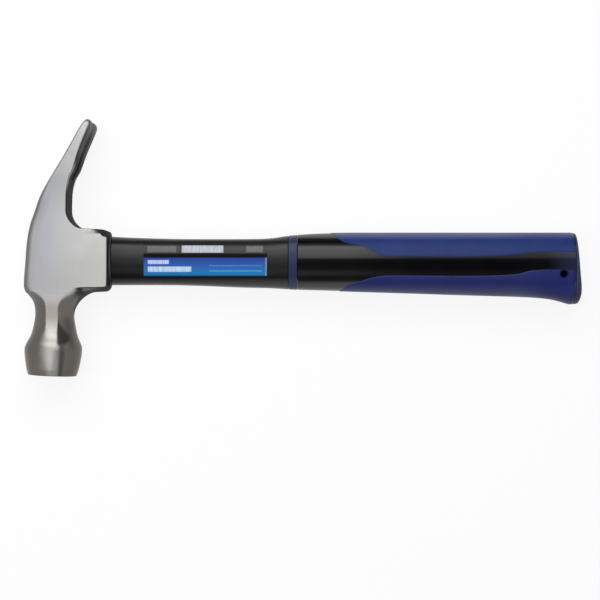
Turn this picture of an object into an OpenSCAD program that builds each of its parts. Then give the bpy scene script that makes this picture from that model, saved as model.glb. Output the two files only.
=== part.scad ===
// Framing hammer with a straight claw and a fibreglass handle, lying on its side.
// The handle runs along +X, the claw points to +Y and the striking face to -Y.
// Sizes are first measured from the crossing of the handle's axis and the poll's axis,
// then the whole hammer is moved so that its origin is under the middle of its box.

/* [Head] */
// Handle axis to the tips of the claw
claw_reach = 84; // [78:0.5:92]
// Handle axis to the striking face, along the poll
poll_reach = 68; // [64:0.5:74]
// Poll axis to the back of the head
back_reach = 19; // [17.5:0.5:22]
// Poll axis to the mouth of the eye, where the handle enters
mouth_reach = 31.7; // [29:0.1:36]
// Poll axis to the inner side of the claw tips
claw_sweep = 22.4; // [18:0.2:26]
// Handle axis to the top of the eye boss
boss_top = 19.4; // [18.4:0.2:21]
// Handle axis to the bottom of the eye boss
boss_bottom = 17.8; // [17:0.2:20]
// Thickness over the two flat cheeks
cheek_t = 25; // [24:0.5:28]
// Width over both tines of the claw
claw_spread = 34.4; // [30:0.5:38]
// Radius of the hollow between claw and eye boss
claw_hollow_r = 11.5; // [8:0.5:13]
// Radius of the eye boss corners at the mouth
boss_corner_r = 3.4; // [2.4:0.2:5]
// Width of the soft rounding along the back of the head
back_round = 4.5; // [3:0.5:6]
// Width of the narrow edge round the cheeks and the claw
edge_round = 1.1; // [0.6:0.1:1.6]
// Height of the wide rounding under the eye boss
under_round = 2.7; // [2:0.1:3.4]

/* [Poll and bell] */
// Handle axis to the narrowest part of the neck
neck_at = 31; // [29:0.5:33]
// Narrowest part of the neck
neck_d = 22.6; // [21:0.2:26]
// Width of the flat on the neck's octagon
neck_flat = 7.4; // [5:0.2:9]
// Handle axis to the widest part of the bell
bell_at = 52; // [50:0.5:55]
// Widest part of the bell
bell_d = 34.6; // [32:0.2:40]
// Bell where its chamfer starts
rim_d = 31.8; // [31:0.2:33.6]
// Striking face
face_d = 29; // [26:0.2:30]
// Height of the chamfer round the striking face
face_chamfer = 3.2; // [1.6:0.2:4.4]
// Lean of the poll away from the handle, in degrees
poll_lean = 2.4; // [0:0.2:4]

/* [Nail slot] */
// Length of the slot from the claw tips
slot_len = 37; // [30:0.5:40]
// Width of the slot at the claw tips
slot_mouth = 11; // [9:0.5:13]
// Width of the slot at its root
slot_root = 2.4; // [1.8:0.1:3.6]
// Depth of the bevel on the slot's edges
slot_bevel = 2; // [1:0.1:2.6]
// Lean of the claw away from upright, in degrees
claw_lean = 25; // [20:1:30]

/* [Eye] */
// Eye opening at the mouth, along the head
eye_mouth_depth = 26; // [24:0.2:28]
// Eye opening at the mouth, across the cheeks
eye_mouth_width = 17; // [15.5:0.1:19]
// Waist of the eye, along the head
eye_waist_depth = 24; // [22.6:0.2:25.4]
// Waist of the eye, across the cheeks
eye_waist_width = 15.4; // [14.2:0.1:16.4]
// Eye opening at the back, along the head
eye_back_depth = 27; // [25:0.2:29]
// Eye opening at the back, across the cheeks
eye_back_width = 18; // [16:0.1:19]
// Back of the head to the face of the poured epoxy
epoxy_drop = 3.2; // [2.6:0.1:5]

/* [Core] */
// Fibreglass rod, along the head
core_depth = 21; // [19:0.2:22]
// Fibreglass rod, across the cheeks
core_width = 13; // [11:0.2:13.6]
// Butt end of the grip to the end of the rod
core_inset = 16.4; // [12:0.2:40]

/* [Sleeve] */
// Thickness of the rubber ring between head and sleeve
seal_t = 1.6; // [1:0.1:2.4]
// Handle axis to the top of the sleeve
sleeve_top = 13.8; // [12.8:0.2:15]
// Handle axis to the bottom of the sleeve
sleeve_bottom = 14; // [13:0.2:15]
// Width of the sleeve across the cheeks
sleeve_width = 20; // [18.6:0.2:22]
// Wall of the spigot that enters the grip
spigot_wall = 1.7; // [1.2:0.1:2]
// Length of the spigot past the accent ring
spigot_len = 18; // [10:1:24]
// Poll axis to the accent ring
ring_at = 138.8; // [130:0.5:150]
// Width of the accent ring
ring_w = 5.4; // [3:0.2:9]

/* [Grip] */
// Poll axis to the butt end of the grip
grip_end = 309; // [304:0.5:325]
// Handle axis to the top of the grip
grip_top = 17.4; // [16.2:0.2:19]
// Handle axis to the bottom of the grip at the butt
butt_bottom = 25.4; // [23:0.2:28]
// Width of the grip at the butt
butt_width = 33; // [29:0.5:35]
// Width of the grip in the middle
grip_width = 27; // [25:0.5:30]
// Thickness of the soft panels
panel_t = 2.2; // [1.4:0.1:2.6]
// Accent ring to the tip of the upper panel
upper_tip_gap = 21.8; // [16:0.2:28]
// Accent ring to the tip of the lower panel
lower_tip_gap = 27.3; // [22:0.1:34]

/* [Butt cap and hang hole] */
// Height of the butt cap at the top
cap_top_t = 1.6; // [1:0.1:4]
// Height of the butt cap at the bottom
cap_bottom_t = 4.2; // [3.4:0.1:7]
// Depth of the cap's plug
plug_len = 2.4; // [1.4:0.1:3]
// Butt end of the grip to the hang hole
hole_inset = 7.4; // [6:0.2:9]
// Hang hole below the handle's axis
hole_drop = 7.4; // [4:0.2:10]
// Hang hole
hole_d = 4; // [3:0.2:5]

/* [Label] */
// Poll axis to the start of the label
label_at = 52.9; // [46:0.5:58]
// Length of the label
label_len = 73.4; // [60:0.5:80]
// Handle axis to the label's upper edge
label_top = 11; // [9:0.2:12]
// Handle axis to the label's lower edge
label_bottom = 9.2; // [8:0.2:11]
// Thickness of the label's film
label_t = 0.3; // [0.2:0.05:0.5]

/* [Hidden] */
$fn = 64;

// Clearances, the overrun of cuts, and counts of points
glue_gap = 0.06;
slip_gap = 0.1;
over = 1;
corner_steps = 4;
oval_steps = 36;
panel_steps = 14;
label_steps = 8;
label_row_steps = 6;

// Roundness of an oval: 2 is an ellipse, more is squarer
sleeve_roundness = 2.7;
eye_roundness = 2.6;

cheek_half = cheek_t / 2;
claw_half = claw_spread / 2;
neck_r = neck_d / 2;
bell_r = bell_d / 2;
core_end = grip_end - core_inset;
hole_at = grip_end - hole_inset;

// Stations up the head: the whole numbers are the widest of the bell, the narrowest of
// the neck, the bottom and top of the eye boss, and the tips of the claw
station_of = [[-bell_at, 0], [-neck_at, 1], [-boss_bottom, 2], [boss_top, 3], [claw_reach, 4]];
// The station where the back of the head becomes straight
straight_station = 2.12;
function station(y) = lookup(y, station_of);

// A smooth curve through a table of [place, value] pairs
function secant(t, i) = (t[i + 1][1] - t[i][1]) / (t[i + 1][0] - t[i][0]);
function slope(t, i) = i == 0 ? secant(t, 0)
    : i == len(t) - 1 ? secant(t, i - 1)
    : (t[i + 1][1] - t[i - 1][1]) / (t[i + 1][0] - t[i - 1][0]);
function span_of(t, p) = max([0, for (i = [0 : len(t) - 2]) if (t[i][0] <= p) i]);
function smooth(t, p) = p <= t[0][0] ? t[0][1]
    : p >= t[len(t) - 1][0] ? t[len(t) - 1][1]
    : let (
        i = span_of(t, p),
        w = t[i + 1][0] - t[i][0],
        u = (p - t[i][0]) / w,
        a = 2 * u * u * u - 3 * u * u + 1,
        b = u * u * u - 2 * u * u + u,
        c = u * u * u - u * u)
      a * t[i][1] + (1 - a) * t[i + 1][1] + w * (b * slope(t, i) + c * slope(t, i + 1));
function mix(a, b, share) = a + (b - a) * share;

// Back edge of the head against station: 0 is the back of the eye, 1 is the claw tips
back_edge_share = [[2.12, 0], [2.44, 0.027], [2.76, 0.05], [3.01, 0.09], [3.158, 0.165],
    [3.3, 0.252], [3.45, 0.393], [3.66, 0.6], [3.88, 0.795], [3.957, 0.864], [4, 0.925]];
// Back edge under the eye: 0 is the neck, 1 is the back of the eye
back_under_share = [[1, 0], [1.25, 0.01], [1.44, 0.07], [1.62, 0.22], [1.8, 0.48],
    [1.985, 0.79], [2.05, 0.92], [2.12, 1]];
// Inner edge of the claw, on the same scale as the back edge
claw_edge_share = [[3.2, 0.64], [3.29, 0.64], [3.37, 0.646], [3.44, 0.67], [3.475, 0.684],
    [3.52, 0.724], [3.553, 0.753], [3.7, 0.832], [3.86, 0.938], [3.93, 0.985], [3.966, 1],
    [3.99, 0.985], [4, 0.97]];
// Half width against station: 0 is the cheek, 1 is the spread of the claw
spread_share = [[3.05, 0], [3.2, 0.06], [3.35, 0.3], [3.5, 0.68], [3.65, 0.93], [3.8, 1],
    [3.94, 0.98], [3.98, 0.86], [4, 0.62]];
// Width of the claw's inner edge, in edge rounds
claw_bevel_share = [[3, 0.9], [3.4, 0.6], [3.5, 1], [3.7, 1.3], [3.9, 1.9], [4, 1.6]];
// Width of the back rounding, as a share of the full one
back_round_share = [[2, 1], [3.2, 0.9], [3.35, 0.7], [3.45, 0.35], [4, 0.3]];
// Depth of the back rounding, as a share of the half thickness
back_depth_share = [[1, 0.66], [1.6, 0.6], [2, 0.45], [3.2, 0.36], [3.4, 0.12], [4, 0.1]];
// Depth of the inner rounding, as a share of the half thickness
inner_depth_share = [[1, 0.66], [1.5, 0.6], [1.9, 0.34], [2, 0.3], [2.1, 0.12], [2.9, 0.09],
    [3.1, 0.12], [4, 0.14]];
// Radius of the poll from the neck to the widest of the bell
poll_share = [[0, 0], [0.11, 0.02], [0.33, 0.16], [0.54, 0.34], [0.655, 0.475], [0.764, 0.68],
    [0.873, 0.87], [1, 1]];

function on_back(share) = mix(-back_reach, claw_sweep, share);
function poll_x(y) = y * tan(poll_lean);
function poll_r(a) = mix(neck_r, bell_r, smooth(poll_share, (a - neck_at) / (bell_at - neck_at)));
neck_back = poll_x(-neck_at) - neck_r;
neck_front = poll_x(-neck_at) + neck_r;

function back_x(y) = y <= -neck_at ? poll_x(y) - poll_r(-y)
    : let (s = station(y))
      s < straight_station ? mix(neck_back, -back_reach, smooth(back_under_share, s))
      : on_back(smooth(back_edge_share, s));

// Inner edge of the head, drawn in by an edge: round the hollow, the boss and the neck
hollow_x = on_back(claw_edge_share[0][1]) + claw_hollow_r;
function hollow_curve(y, edge) = let (
        r = claw_hollow_r + edge,
        up = boss_top + claw_hollow_r - y)
    hollow_x - sqrt(max(0, r * r - up * up));
function boss_curve(y, edge) = let (
        r = boss_corner_r - edge,
        top = y - (boss_top - boss_corner_r),
        low = -(boss_bottom - boss_corner_r) - y,
        out = min(r, max(0, top, low)))
    mouth_reach - boss_corner_r + sqrt(r * r - out * out);
function neck_sweep(y, x, drop = 0) = let (
        r = neck_at - boss_bottom,
        up = max(0, min(r, y + boss_bottom - drop + r)))
    x + r - sqrt(r * r - up * up);
function inner_x(y, edge = 0) = y >= boss_top + claw_hollow_r
    ? on_back(smooth(claw_edge_share, station(y)))
    : y > boss_top - edge ? hollow_curve(y, edge)
    : y > -boss_bottom ? boss_curve(y, edge)
    : y > -neck_at ? neck_sweep(y, neck_front)
    : poll_x(y) + poll_r(-y);

// Half width of the flat facet on the poll, which fades out as the neck becomes round
facet_share = [[0, 1], [0.35, 1], [0.6, 0.7], [0.8, 0.3], [1, 0.1]];
function facet(a) = neck_flat / 2 * lookup((a - neck_at) / (bell_at - neck_at), facet_share);

// Edges of the flat cheek, claw side and front facet
function cheek_back_x(y) = y <= -neck_at ? poll_x(y) - facet(-y)
    : let (s = station(y))
      s >= straight_station ? back_x(y) + back_round * lookup(s, back_round_share)
      : mix(poll_x(-neck_at) - facet(neck_at), back_x(y) + back_round, smooth(back_under_share, s));
facet_front = poll_x(-neck_at) + facet(neck_at);
cheek_low = -boss_bottom + under_round;
function cheek_front_x(y) = y >= boss_top + claw_hollow_r
    ? inner_x(y) - edge_round * lookup(station(y), claw_bevel_share)
    : y >= cheek_low ? inner_x(y, edge_round)
    : y > -neck_at ? min(mouth_reach - edge_round, neck_sweep(y, facet_front, under_round))
    : poll_x(y) + facet(-y);

function half_t(y) = y < -neck_at ? poll_r(-y)
    : let (s = station(y))
      s < 2 ? mix(neck_r, cheek_half, s - 1)
      : mix(cheek_half, claw_half, smooth(spread_share, s));

// The rows of the head from the claw tips down to inside the bell
claw_rows_share = [1, 0.992, 0.975, 0.95, 0.91, 0.86, 0.8, 0.74, 0.68, 0.62, 0.57, 0.545, 0.52,
    0.497, 0.475, 0.45, 0.42, 0.385, 0.34, 0.29, 0.25, 0.21];
hollow_rows_share = [0.94, 0.8, 0.64, 0.48, 0.33, 0.2, 0.11, 0.05, 0.015];
boss_rows_share = [0.9, 0.8, 0.65, 0.5, 0.35, 0.2];
neck_rows_share = [0.02, 0.05, 0.09, 0.15, 0.23, 0.33, 0.45, 0.6, 0.8, 1];
poll_rows_share = [0.1, 0.2, 0.3, 0.4, 0.5, 0.6];
edge_rows_share = [0.12, 0.9, 1.06];
corner_top = boss_top - edge_round * 1.1;
top_arc_angles = [10, 25, 42, 60, 78];
low_arc_angles = [88, 76, 62, 48, 34, 20, 8];
function falling(list) = len(list) < 2 ? list
    : concat(
        falling([for (v = list) if (v > list[0]) v]),
        [list[0]],
        falling([for (v = list) if (v < list[0]) v]));
rows = falling(concat(
    [for (v = claw_rows_share) if (mix(boss_top, claw_reach, v) > boss_top + claw_hollow_r)
        mix(boss_top, claw_reach, v)],
    [for (v = hollow_rows_share) boss_top + claw_hollow_r * v],
    [for (v = edge_rows_share) boss_top - edge_round * v],
    [for (a = top_arc_angles) corner_top - (boss_corner_r - boss_top + corner_top) * (1 - cos(a))],
    [for (v = boss_rows_share) mix(-boss_bottom + boss_corner_r, boss_top - boss_corner_r, v)],
    [cheek_low],
    [for (a = low_arc_angles) -boss_bottom + boss_corner_r * (1 - cos(a))],
    [for (v = neck_rows_share) mix(-boss_bottom, -neck_at, v)],
    [for (v = poll_rows_share) mix(-neck_at, -bell_at, v)]));

// One rounded corner, 0 to 1 each way: round 1 is a flat chamfer, 2 is a quarter circle
function corner(round) = [for (i = [0 : corner_steps])
    let (a = 90 * i / corner_steps)
    [1 - pow(cos(a), 2 / round), 1 - pow(sin(a), 2 / round)]];
// The back rounding takes at most this share of the way to the inner edge
tip_back_share = 0.6;
// The inner edge always keeps this share of its round
edge_left_share = 0.2;
roundness_share = [[0.4, 2], [0.7, 1.4], [1, 1.05], [1.5, 1.05], [1.9, 1.9], [4, 2]];

function head_ring(y) = let (
        s = station(y),
        h = half_t(y),
        low = y < -neck_at,
        round = lookup(s, roundness_share),
        xb = back_x(y),
        xf = inner_x(y),
        cf = min(cheek_front_x(y), xf - edge_round * edge_left_share),
        cb = min(cheek_back_x(y), mix(xb, cf, tip_back_share)),
        db = low ? h - facet(-y) : h * lookup(s, back_depth_share),
        df = low ? h - facet(-y) : h * lookup(s, inner_depth_share),
        k = corner(round),
        n = corner_steps,
        xc = poll_x(y),
        tilt = poll_lean * (low ? 1 : max(0, 2 - s)),
        front = [for (i = [0 : n]) [mix(xf, cf, k[n - i][0]), h - df * k[i][0]]],
        back = [for (i = [0 : n]) [mix(xb, cb, k[n - i][0]), h - db * k[i][0]]],
        flat = concat(
            front,
            [for (i = [n : -1 : 0]) [front[i][0], -front[i][1]]],
            [for (i = [0 : n]) [back[i][0], -back[i][1]]],
            [for (i = [n : -1 : 0]) back[i]]))
    [for (p = flat) [xc + (p[0] - xc) * cos(tilt), y - (p[0] - xc) * sin(tilt), p[1]]];

// A closed solid through a list of rings with the same number of points each
module loft(rings) {
    m = len(rings[0]);
    last = len(rings) - 1;
    points = [for (ring = rings) each ring];
    sides = [for (j = [0 : last - 1], i = [0 : m - 1], half = [0, 1])
        let (a = j * m + i, b = j * m + (i + 1) % m, c = a + m, d = b + m)
        half == 0 ? [a, b, d] : [a, d, c]];
    start = [for (i = [m - 1 : -1 : 0]) i];
    end = [for (i = [0 : m - 1]) last * m + i];
    polyhedron(points, concat([start], sides, [end]));
}

// A closed solid through rings that fold back on themselves: outer points, then inner ones
module loft_strip(rings) {
    m = len(rings[0]);
    last = len(rings) - 1;
    points = [for (ring = rings) each ring];
    sides = [for (j = [0 : last - 1], i = [0 : m - 1], half = [0, 1])
        let (a = j * m + i, b = j * m + (i + 1) % m, c = a + m, d = b + m)
        half == 0 ? [a, b, d] : [a, d, c]];
    ends = [for (i = [0 : m / 2 - 2], side = [0, 1])
        let (o = side * last * m, a = o + i, b = o + i + 1, c = o + m - 2 - i, d = o + m - 1 - i)
        side == 0 ? [d, c, b, a] : [a, b, c, d]];
    polyhedron(points, concat(sides, ends));
}

// Handle sections: stations 0 to 1 are the sleeve, 1 to 2 the grip
function handle_x(u) = u < 1 ? mix(mouth_reach, ring_at, u) : mix(ring_at, grip_end, u - 1);
function handle_u(x) = x < ring_at ? (x - mouth_reach) / (ring_at - mouth_reach)
    : 1 + (x - ring_at) / (grip_end - ring_at);
// Top, bottom and half width: 0 is the sleeve, 1 is the grip, or for the bottom the butt
top_share = [[0, 0.4], [0.16, 0.18], [0.4, 0], [0.8, 0], [0.9, 0.12], [1, 0.54], [1.07, 0.82],
    [1.16, 0.97], [1.3, 1], [2, 1]];
bottom_share = [[0, 0], [0.34, 0], [0.5, 0.035], [0.73, 0.12], [0.9, 0.16], [1.04, 0.24],
    [1.18, 0.3], [1.46, 0.43], [1.6, 0.5], [1.74, 0.56], [1.86, 0.63], [1.92, 0.72],
    [1.96, 0.86], [1.985, 0.97], [2, 1]];
width_share = [[0, 0], [0.85, 0.03], [1, 0.36], [1.15, 0.72], [1.35, 0.95], [1.6, 1], [1.8, 1]];
flare_share = [[1.78, 0], [1.88, 0.2], [1.95, 0.66], [2, 1]];
roundness_table_share = [[0, 1], [0.95, 1], [1.2, 0.9], [1.8, 0.87], [2, 0.9]];

function top_of(u) = mix(sleeve_top, grip_top, smooth(top_share, u));
function bottom_of(u) = mix(sleeve_bottom, butt_bottom, smooth(bottom_share, u));
function half_width(u) = mix(sleeve_width, grip_width, smooth(width_share, u)) / 2
    + (butt_width - grip_width) / 2 * smooth(flare_share, u);
function roundness(u) = sleeve_roundness * lookup(u, roundness_table_share);
function centre_of(u) = (top_of(u) - bottom_of(u)) / 2;
function half_depth(u) = (top_of(u) + bottom_of(u)) / 2;

// A point on an oval: angle 0 faces +Z, 90 faces +Y
function oval(angle, depth, width, n) = [
    depth * sign(sin(angle)) * pow(abs(sin(angle)), 2 / n),
    width * sign(cos(angle)) * pow(abs(cos(angle)), 2 / n)];
// A point on the handle's skin, raised by a height
function skin(u, angle, up = 0) = let (
        p = oval(angle, half_depth(u) + up, half_width(u) + up, roundness(u)))
    [handle_x(u), centre_of(u) + p[0], p[1]];
// The angle at which the skin stands at a height, as a share of the half depth
function angle_at(u, share) = sign(share) * asin(pow(min(1, abs(share)), roundness(u) / 2));

sleeve_rows_share = [0.14, 0.3, 0.5, 0.7, 0.8, 0.88, 0.94];
grip_rows_share = [1.08, 1.16, 1.26, 1.4, 1.55, 1.7, 1.8, 1.86, 1.9, 1.93, 1.96, 1.98];
ring_end_u = handle_u(ring_at + ring_w);
seal_u = handle_u(mouth_reach + seal_t);

function skin_ring(u, up = 0) = [for (i = [0 : oval_steps - 1]) skin(u, 360 * i / oval_steps, up)];

// A flat-sided oval bar along X, with true round ends
module bar(depth, width, from, to) {
    translate([from, 0, 0])
        rotate([90, 0, 90])
            linear_extrude(to - from)
                union() {
                    square([depth - width, width], center = true);
                    for (side = [-1, 1])
                        translate([side * (depth - width) / 2, 0])
                            circle(d = width);
                }
}

module core_bore(from, to, gap = glue_gap) {
    bar(core_depth + 2 * gap, core_width + 2 * gap, from, to);
}

spigot_depth = core_depth + 2 * spigot_wall;
spigot_width = core_width + 2 * spigot_wall;
spigot_end = ring_at + ring_w + spigot_len;

// The eye narrows to a waist between its two ends
waist_share = [[0, 0], [0.4, 0.75], [0.55, 1], [0.7, 0.75], [1, 0]];
eye_rows_share = [0, 0.2, 0.4, 0.55, 0.7, 0.85, 1];
function eye_size(v, at_mouth, waist, at_back) =
    mix(mix(at_mouth, at_back, v), waist, smooth(waist_share, v));
function eye_ring(v, from, to, gap) = let (
        x = mix(from, to, v),
        w = min(1, max(0, (mouth_reach - x) / (mouth_reach + back_reach))),
        depth = eye_size(w, eye_mouth_depth, eye_waist_depth, eye_back_depth) / 2 - gap,
        width = eye_size(w, eye_mouth_width, eye_waist_width, eye_back_width) / 2 - gap)
    [for (i = [0 : oval_steps - 1])
        let (p = oval(360 * i / oval_steps, depth, width, eye_roundness))
        [x, p[0], p[1]]];
module eye_space(from, to, gap = 0) {
    loft([for (v = eye_rows_share) eye_ring(v, from, to, gap)]);
}

// The slot stands square to the claw, from its root towards the tips
slot_x = claw_sweep - slot_len * sin(claw_lean);
slot_y = claw_reach - slot_len * cos(claw_lean);
slot_run = slot_len + over * 2;
function slot_width(run) = mix(slot_root, slot_mouth, run / slot_len);
module slot_cut(wider, thick) {
    end = slot_width(slot_run) + wider;
    root = slot_root + wider;
    rotate([90, 0, 90])
        linear_extrude(thick, center = true)
            union() {
                circle(d = root);
                polygon([[0, -root / 2], [slot_run, -end / 2], [slot_run, end / 2], [0, root / 2]]);
            }
}
// The claw's inner edge leans less than its middle
inner_lean = claw_lean * 0.82;

// Outline of the bell: its shoulder, the slant to the rim, then the chamfer and the face
bell_start = mix(neck_at, bell_at, 1 / 2);
rim_at = poll_reach - face_chamfer;
shoulder_share = [0, 0.15, 0.3, 0.45, 0.6, 0.75, 0.88, 1];
crown_share = [[0.1, 0.995], [0.3, 0.95]];
bell_outline = concat(
    [for (v = shoulder_share) let (a = mix(bell_start, bell_at, v)) [poll_r(a) + glue_gap, a]],
    [for (c = crown_share) [mix(rim_d / 2, bell_r, c[1]) + glue_gap, mix(bell_at, rim_at, c[0])]],
    [[rim_d / 2, rim_at], [face_d / 2, poll_reach]]);
module bell() {
    rotate([0, 0, -poll_lean])
        rotate([90, 0, 0])
            rotate_extrude()
                polygon(concat([[0, bell_start]], bell_outline, [[0, poll_reach]]));
}

module head() {
    color("silver")
        difference() {
            union() {
                loft([for (y = rows) head_ring(y)]);
                bell();
            }
            eye_space(-back_reach - 2 * over, mouth_reach + over);
            translate([slot_x, slot_y, 0])
                rotate([0, 0, -claw_lean])
                    slot_cut(0, claw_sweep * 2);
            translate([inner_x(slot_y), slot_y, 0])
                rotate([0, 0, -inner_lean])
                    hull() {
                        translate([over, 0, 0])
                            slot_cut(2 * (slot_bevel + over), glue_gap);
                        translate([-slot_bevel, 0, 0])
                            slot_cut(0, glue_gap);
                    }
        }
}

module fibreglass_core() {
    color("khaki")
        bar(core_depth, core_width, -back_reach + epoxy_drop + glue_gap, core_end);
}

module eye_epoxy() {
    color("darkgoldenrod")
        difference() {
            eye_space(-back_reach + epoxy_drop, mouth_reach, glue_gap);
            core_bore(-back_reach - over, mouth_reach + over);
        }
}

module eye_seal() {
    color("dimgray")
        difference() {
            loft([for (x = [mouth_reach + glue_gap, mouth_reach + seal_t - glue_gap])
                [for (p = skin_ring(0, slip_gap * 2)) [x, p[1], p[2]]]]);
            core_bore(mouth_reach - over, mouth_reach + seal_t + over);
        }
}

module sleeve() {
    color([0.09, 0.09, 0.1])
        difference() {
            union() {
                loft([for (u = concat([seal_u], sleeve_rows_share, [1])) skin_ring(u)]);
                bar(spigot_depth, spigot_width, ring_at - over, spigot_end);
            }
            core_bore(mouth_reach - over, spigot_end + over);
        }
}

module label() {
    start_u = handle_u(label_at);
    end_u = handle_u(label_at + label_len);
    rows_u = [for (v = [0 : label_row_steps]) mix(start_u, end_u, v / label_row_steps)];
    color("royalblue")
        loft_strip([for (u = rows_u)
            let (
                high = angle_at(u, (label_top - centre_of(u)) / half_depth(u)),
                low = angle_at(u, (-label_bottom - centre_of(u)) / half_depth(u)),
                angles = [for (i = [0 : label_steps]) mix(low, high, i / label_steps)])
            concat(
                [for (a = angles) skin(u, a, label_t + glue_gap)],
                [for (i = [label_steps : -1 : 0]) skin(u, angles[i], glue_gap)])]);
}

module accent_ring() {
    color([0.2, 0.29, 0.5])
        difference() {
            loft([skin_ring(1 + (ring_end_u - 1) * glue_gap / ring_w),
                skin_ring(mix(1, ring_end_u, 1 / 2)),
                skin_ring(mix(1, ring_end_u, 1 - glue_gap / ring_w))]);
            bar(spigot_depth + 2 * slip_gap, spigot_width + 2 * slip_gap, ring_at - over,
                ring_at + ring_w + over);
        }
}

// Edges of the soft panels against station, as shares of the half depth
upper_edge_share = [[0, 0.93], [0.035, 0.68], [0.07, 0.59], [0.105, 0.55], [0.145, 0.42],
    [0.2, 0.2], [0.25, 0.186], [0.6, 0.21], [0.75, 0.29], [0.82, 0.36], [1, 0.44]];
lower_edge_share = [[0, 0.93], [0.02, 0.78], [0.07, 0.65], [0.11, 0.54], [0.15, 0.465],
    [0.19, 0.43], [0.6, 0.366], [0.75, 0.29], [0.81, 0.17], [1, 0.05]];
panel_rows_share = [0, 0.02, 0.05, 0.1, 0.15, 0.2, 0.26, 0.4, 0.55, 0.68, 0.76, 0.82, 0.88, 0.93,
    0.97, 1];

// The tips of the panels are measured from the accent ring
upper_panel_at = ring_at + ring_w + upper_tip_gap;
lower_panel_at = ring_at + ring_w + lower_tip_gap;

// A panel on one side of the handle: side is 1 for the top and -1 for the bottom
function panel_ring(u, share, side, up, down, slack) = let (
        edge = angle_at(u, share) - slack / half_width(u) * 180 / PI,
        angles = [for (i = [0 : panel_steps]) side * mix(edge, 180 - edge, i / panel_steps)])
    concat(
        [for (a = angles) skin(u, a, up)],
        [for (i = [panel_steps : -1 : 0]) skin(u, angles[i], -down)]);
module panel(at, edge_share, side, up = 0, down = panel_t, slack = 0, past = 0) {
    first = handle_u(at - past);
    rings = [for (v = panel_rows_share) let (u = mix(first, 2, v))
        panel_ring(u, smooth(edge_share, v), side, up, down, slack)];
    end = [for (p = rings[len(rings) - 1]) [p[0] + over, p[1], p[2]]];
    all = past > 0 ? concat(rings, [end]) : rings;
    if (side > 0)
        loft_strip(all);
    else
        mirror([0, 0, 1])
            loft_strip([for (ring = all) [for (p = ring) [p[0], p[1], -p[2]]]]);
}

module hang_hole() {
    translate([hole_at, -hole_drop, 0])
        cylinder(d = hole_d, h = butt_width + 2 * over, center = true);
}

// The cap's plug against the butt of the grip, an ellipse
plug_depth_share = 0.6;
plug_width_share = 0.55;
module plug(from, to, gap) {
    depth = half_depth(2) * plug_depth_share - gap;
    width = half_width(2) * plug_width_share - gap;
    loft([for (x = [from, to])
        [for (i = [0 : oval_steps - 1])
            let (p = oval(360 * i / oval_steps, depth, width, 2))
            [x, centre_of(2) + p[0], p[1]]]]);
}

module grip_base() {
    color([0.11, 0.11, 0.12])
        difference() {
            loft([for (u = concat([ring_end_u], grip_rows_share, [2])) skin_ring(u)]);
            panel(upper_panel_at, upper_edge_share, 1, over, panel_t + glue_gap, glue_gap, glue_gap);
            panel(lower_panel_at, lower_edge_share, -1, over, panel_t + glue_gap, glue_gap, glue_gap);
            core_bore(ring_at, core_end + slip_gap);
            bar(spigot_depth + 2 * slip_gap, spigot_width + 2 * slip_gap, ring_at,
                spigot_end + slip_gap);
            plug(grip_end - plug_len - slip_gap, grip_end + over, 0);
            hang_hole();
        }
}

module upper_panel() {
    color([0.22, 0.29, 0.55])
        panel(upper_panel_at, upper_edge_share, 1);
}

module lower_panel() {
    color([0.18, 0.2, 0.46])
        difference() {
            panel(lower_panel_at, lower_edge_share, -1);
            hang_hole();
        }
}

// The cap's dome as [size of the ring, height] shares, from its edge to its middle
dome_share = [[1, 0], [0.995, 0.35], [0.96, 0.6], [0.9, 0.8], [0.8, 0.92], [0.65, 1], [0.35, 1]];
// Height of the dome from the top of the butt to its bottom: 0 is the top's, 1 the bottom's
cap_slope_share = [[0, 0], [0.25, 0.14], [0.55, 0.5], [0.8, 1], [0.9, 1], [1, 0.8]];
function cap_height(y) = mix(cap_top_t, cap_bottom_t,
    smooth(cap_slope_share, (top_of(2) - y) / (top_of(2) + bottom_of(2))));
dome_rings = [for (d = dome_share) [for (p = skin_ring(2))
    let (y = mix(centre_of(2), p[1], d[0]))
    [grip_end + glue_gap + cap_height(y) * d[1], y, p[2] * d[0]]]];
// The last ring is small and flat, so that the dome closes with one face
dome_end_share = 0.05;
dome_end = [for (p = skin_ring(2)) [grip_end + glue_gap + cap_height(centre_of(2)),
    mix(centre_of(2), p[1], dome_end_share), p[2] * dome_end_share]];
module butt_cap() {
    color([0.2, 0.2, 0.22])
        union() {
            loft(concat(dome_rings, [dome_end]));
            plug(grip_end - plug_len, grip_end + glue_gap * 2, slip_gap);
        }
}

// The origin goes under the middle of the hammer's box
bell_left = -max([for (p = bell_outline) p[0] * cos(poll_lean) + p[1] * sin(poll_lean)]);
face_low = -max([for (p = bell_outline) p[0] * sin(poll_lean) + p[1] * cos(poll_lean)]);
cap_right = max([for (ring = dome_rings, p = ring) p[0]]);
side_top = max(concat([for (p = bell_outline) p[0]], [for (y = rows) half_t(y)]));
module in_place() {
    translate([-(bell_left + cap_right) / 2, -(face_low + claw_reach) / 2, side_top])
        children();
}

in_place() head();
in_place() fibreglass_core();
in_place() eye_epoxy();
in_place() eye_seal();
in_place() sleeve();
in_place() label();
in_place() accent_ring();
in_place() grip_base();
in_place() upper_panel();
in_place() lower_panel();
in_place() butt_cap();
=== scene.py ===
# %% [markdown]
# # A framing hammer, piece by piece
#
# The solids from the CAD model are loaded first. They fix every size and place. The pieces
# that the camera sees are then made again with finer shapes, and each stands for the solid
# that it replaces. Everything is in metres, in the frame of the CAD model: the hammer lies on
# its side, +X runs to the butt and +Y to the tips of the claw.

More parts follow.
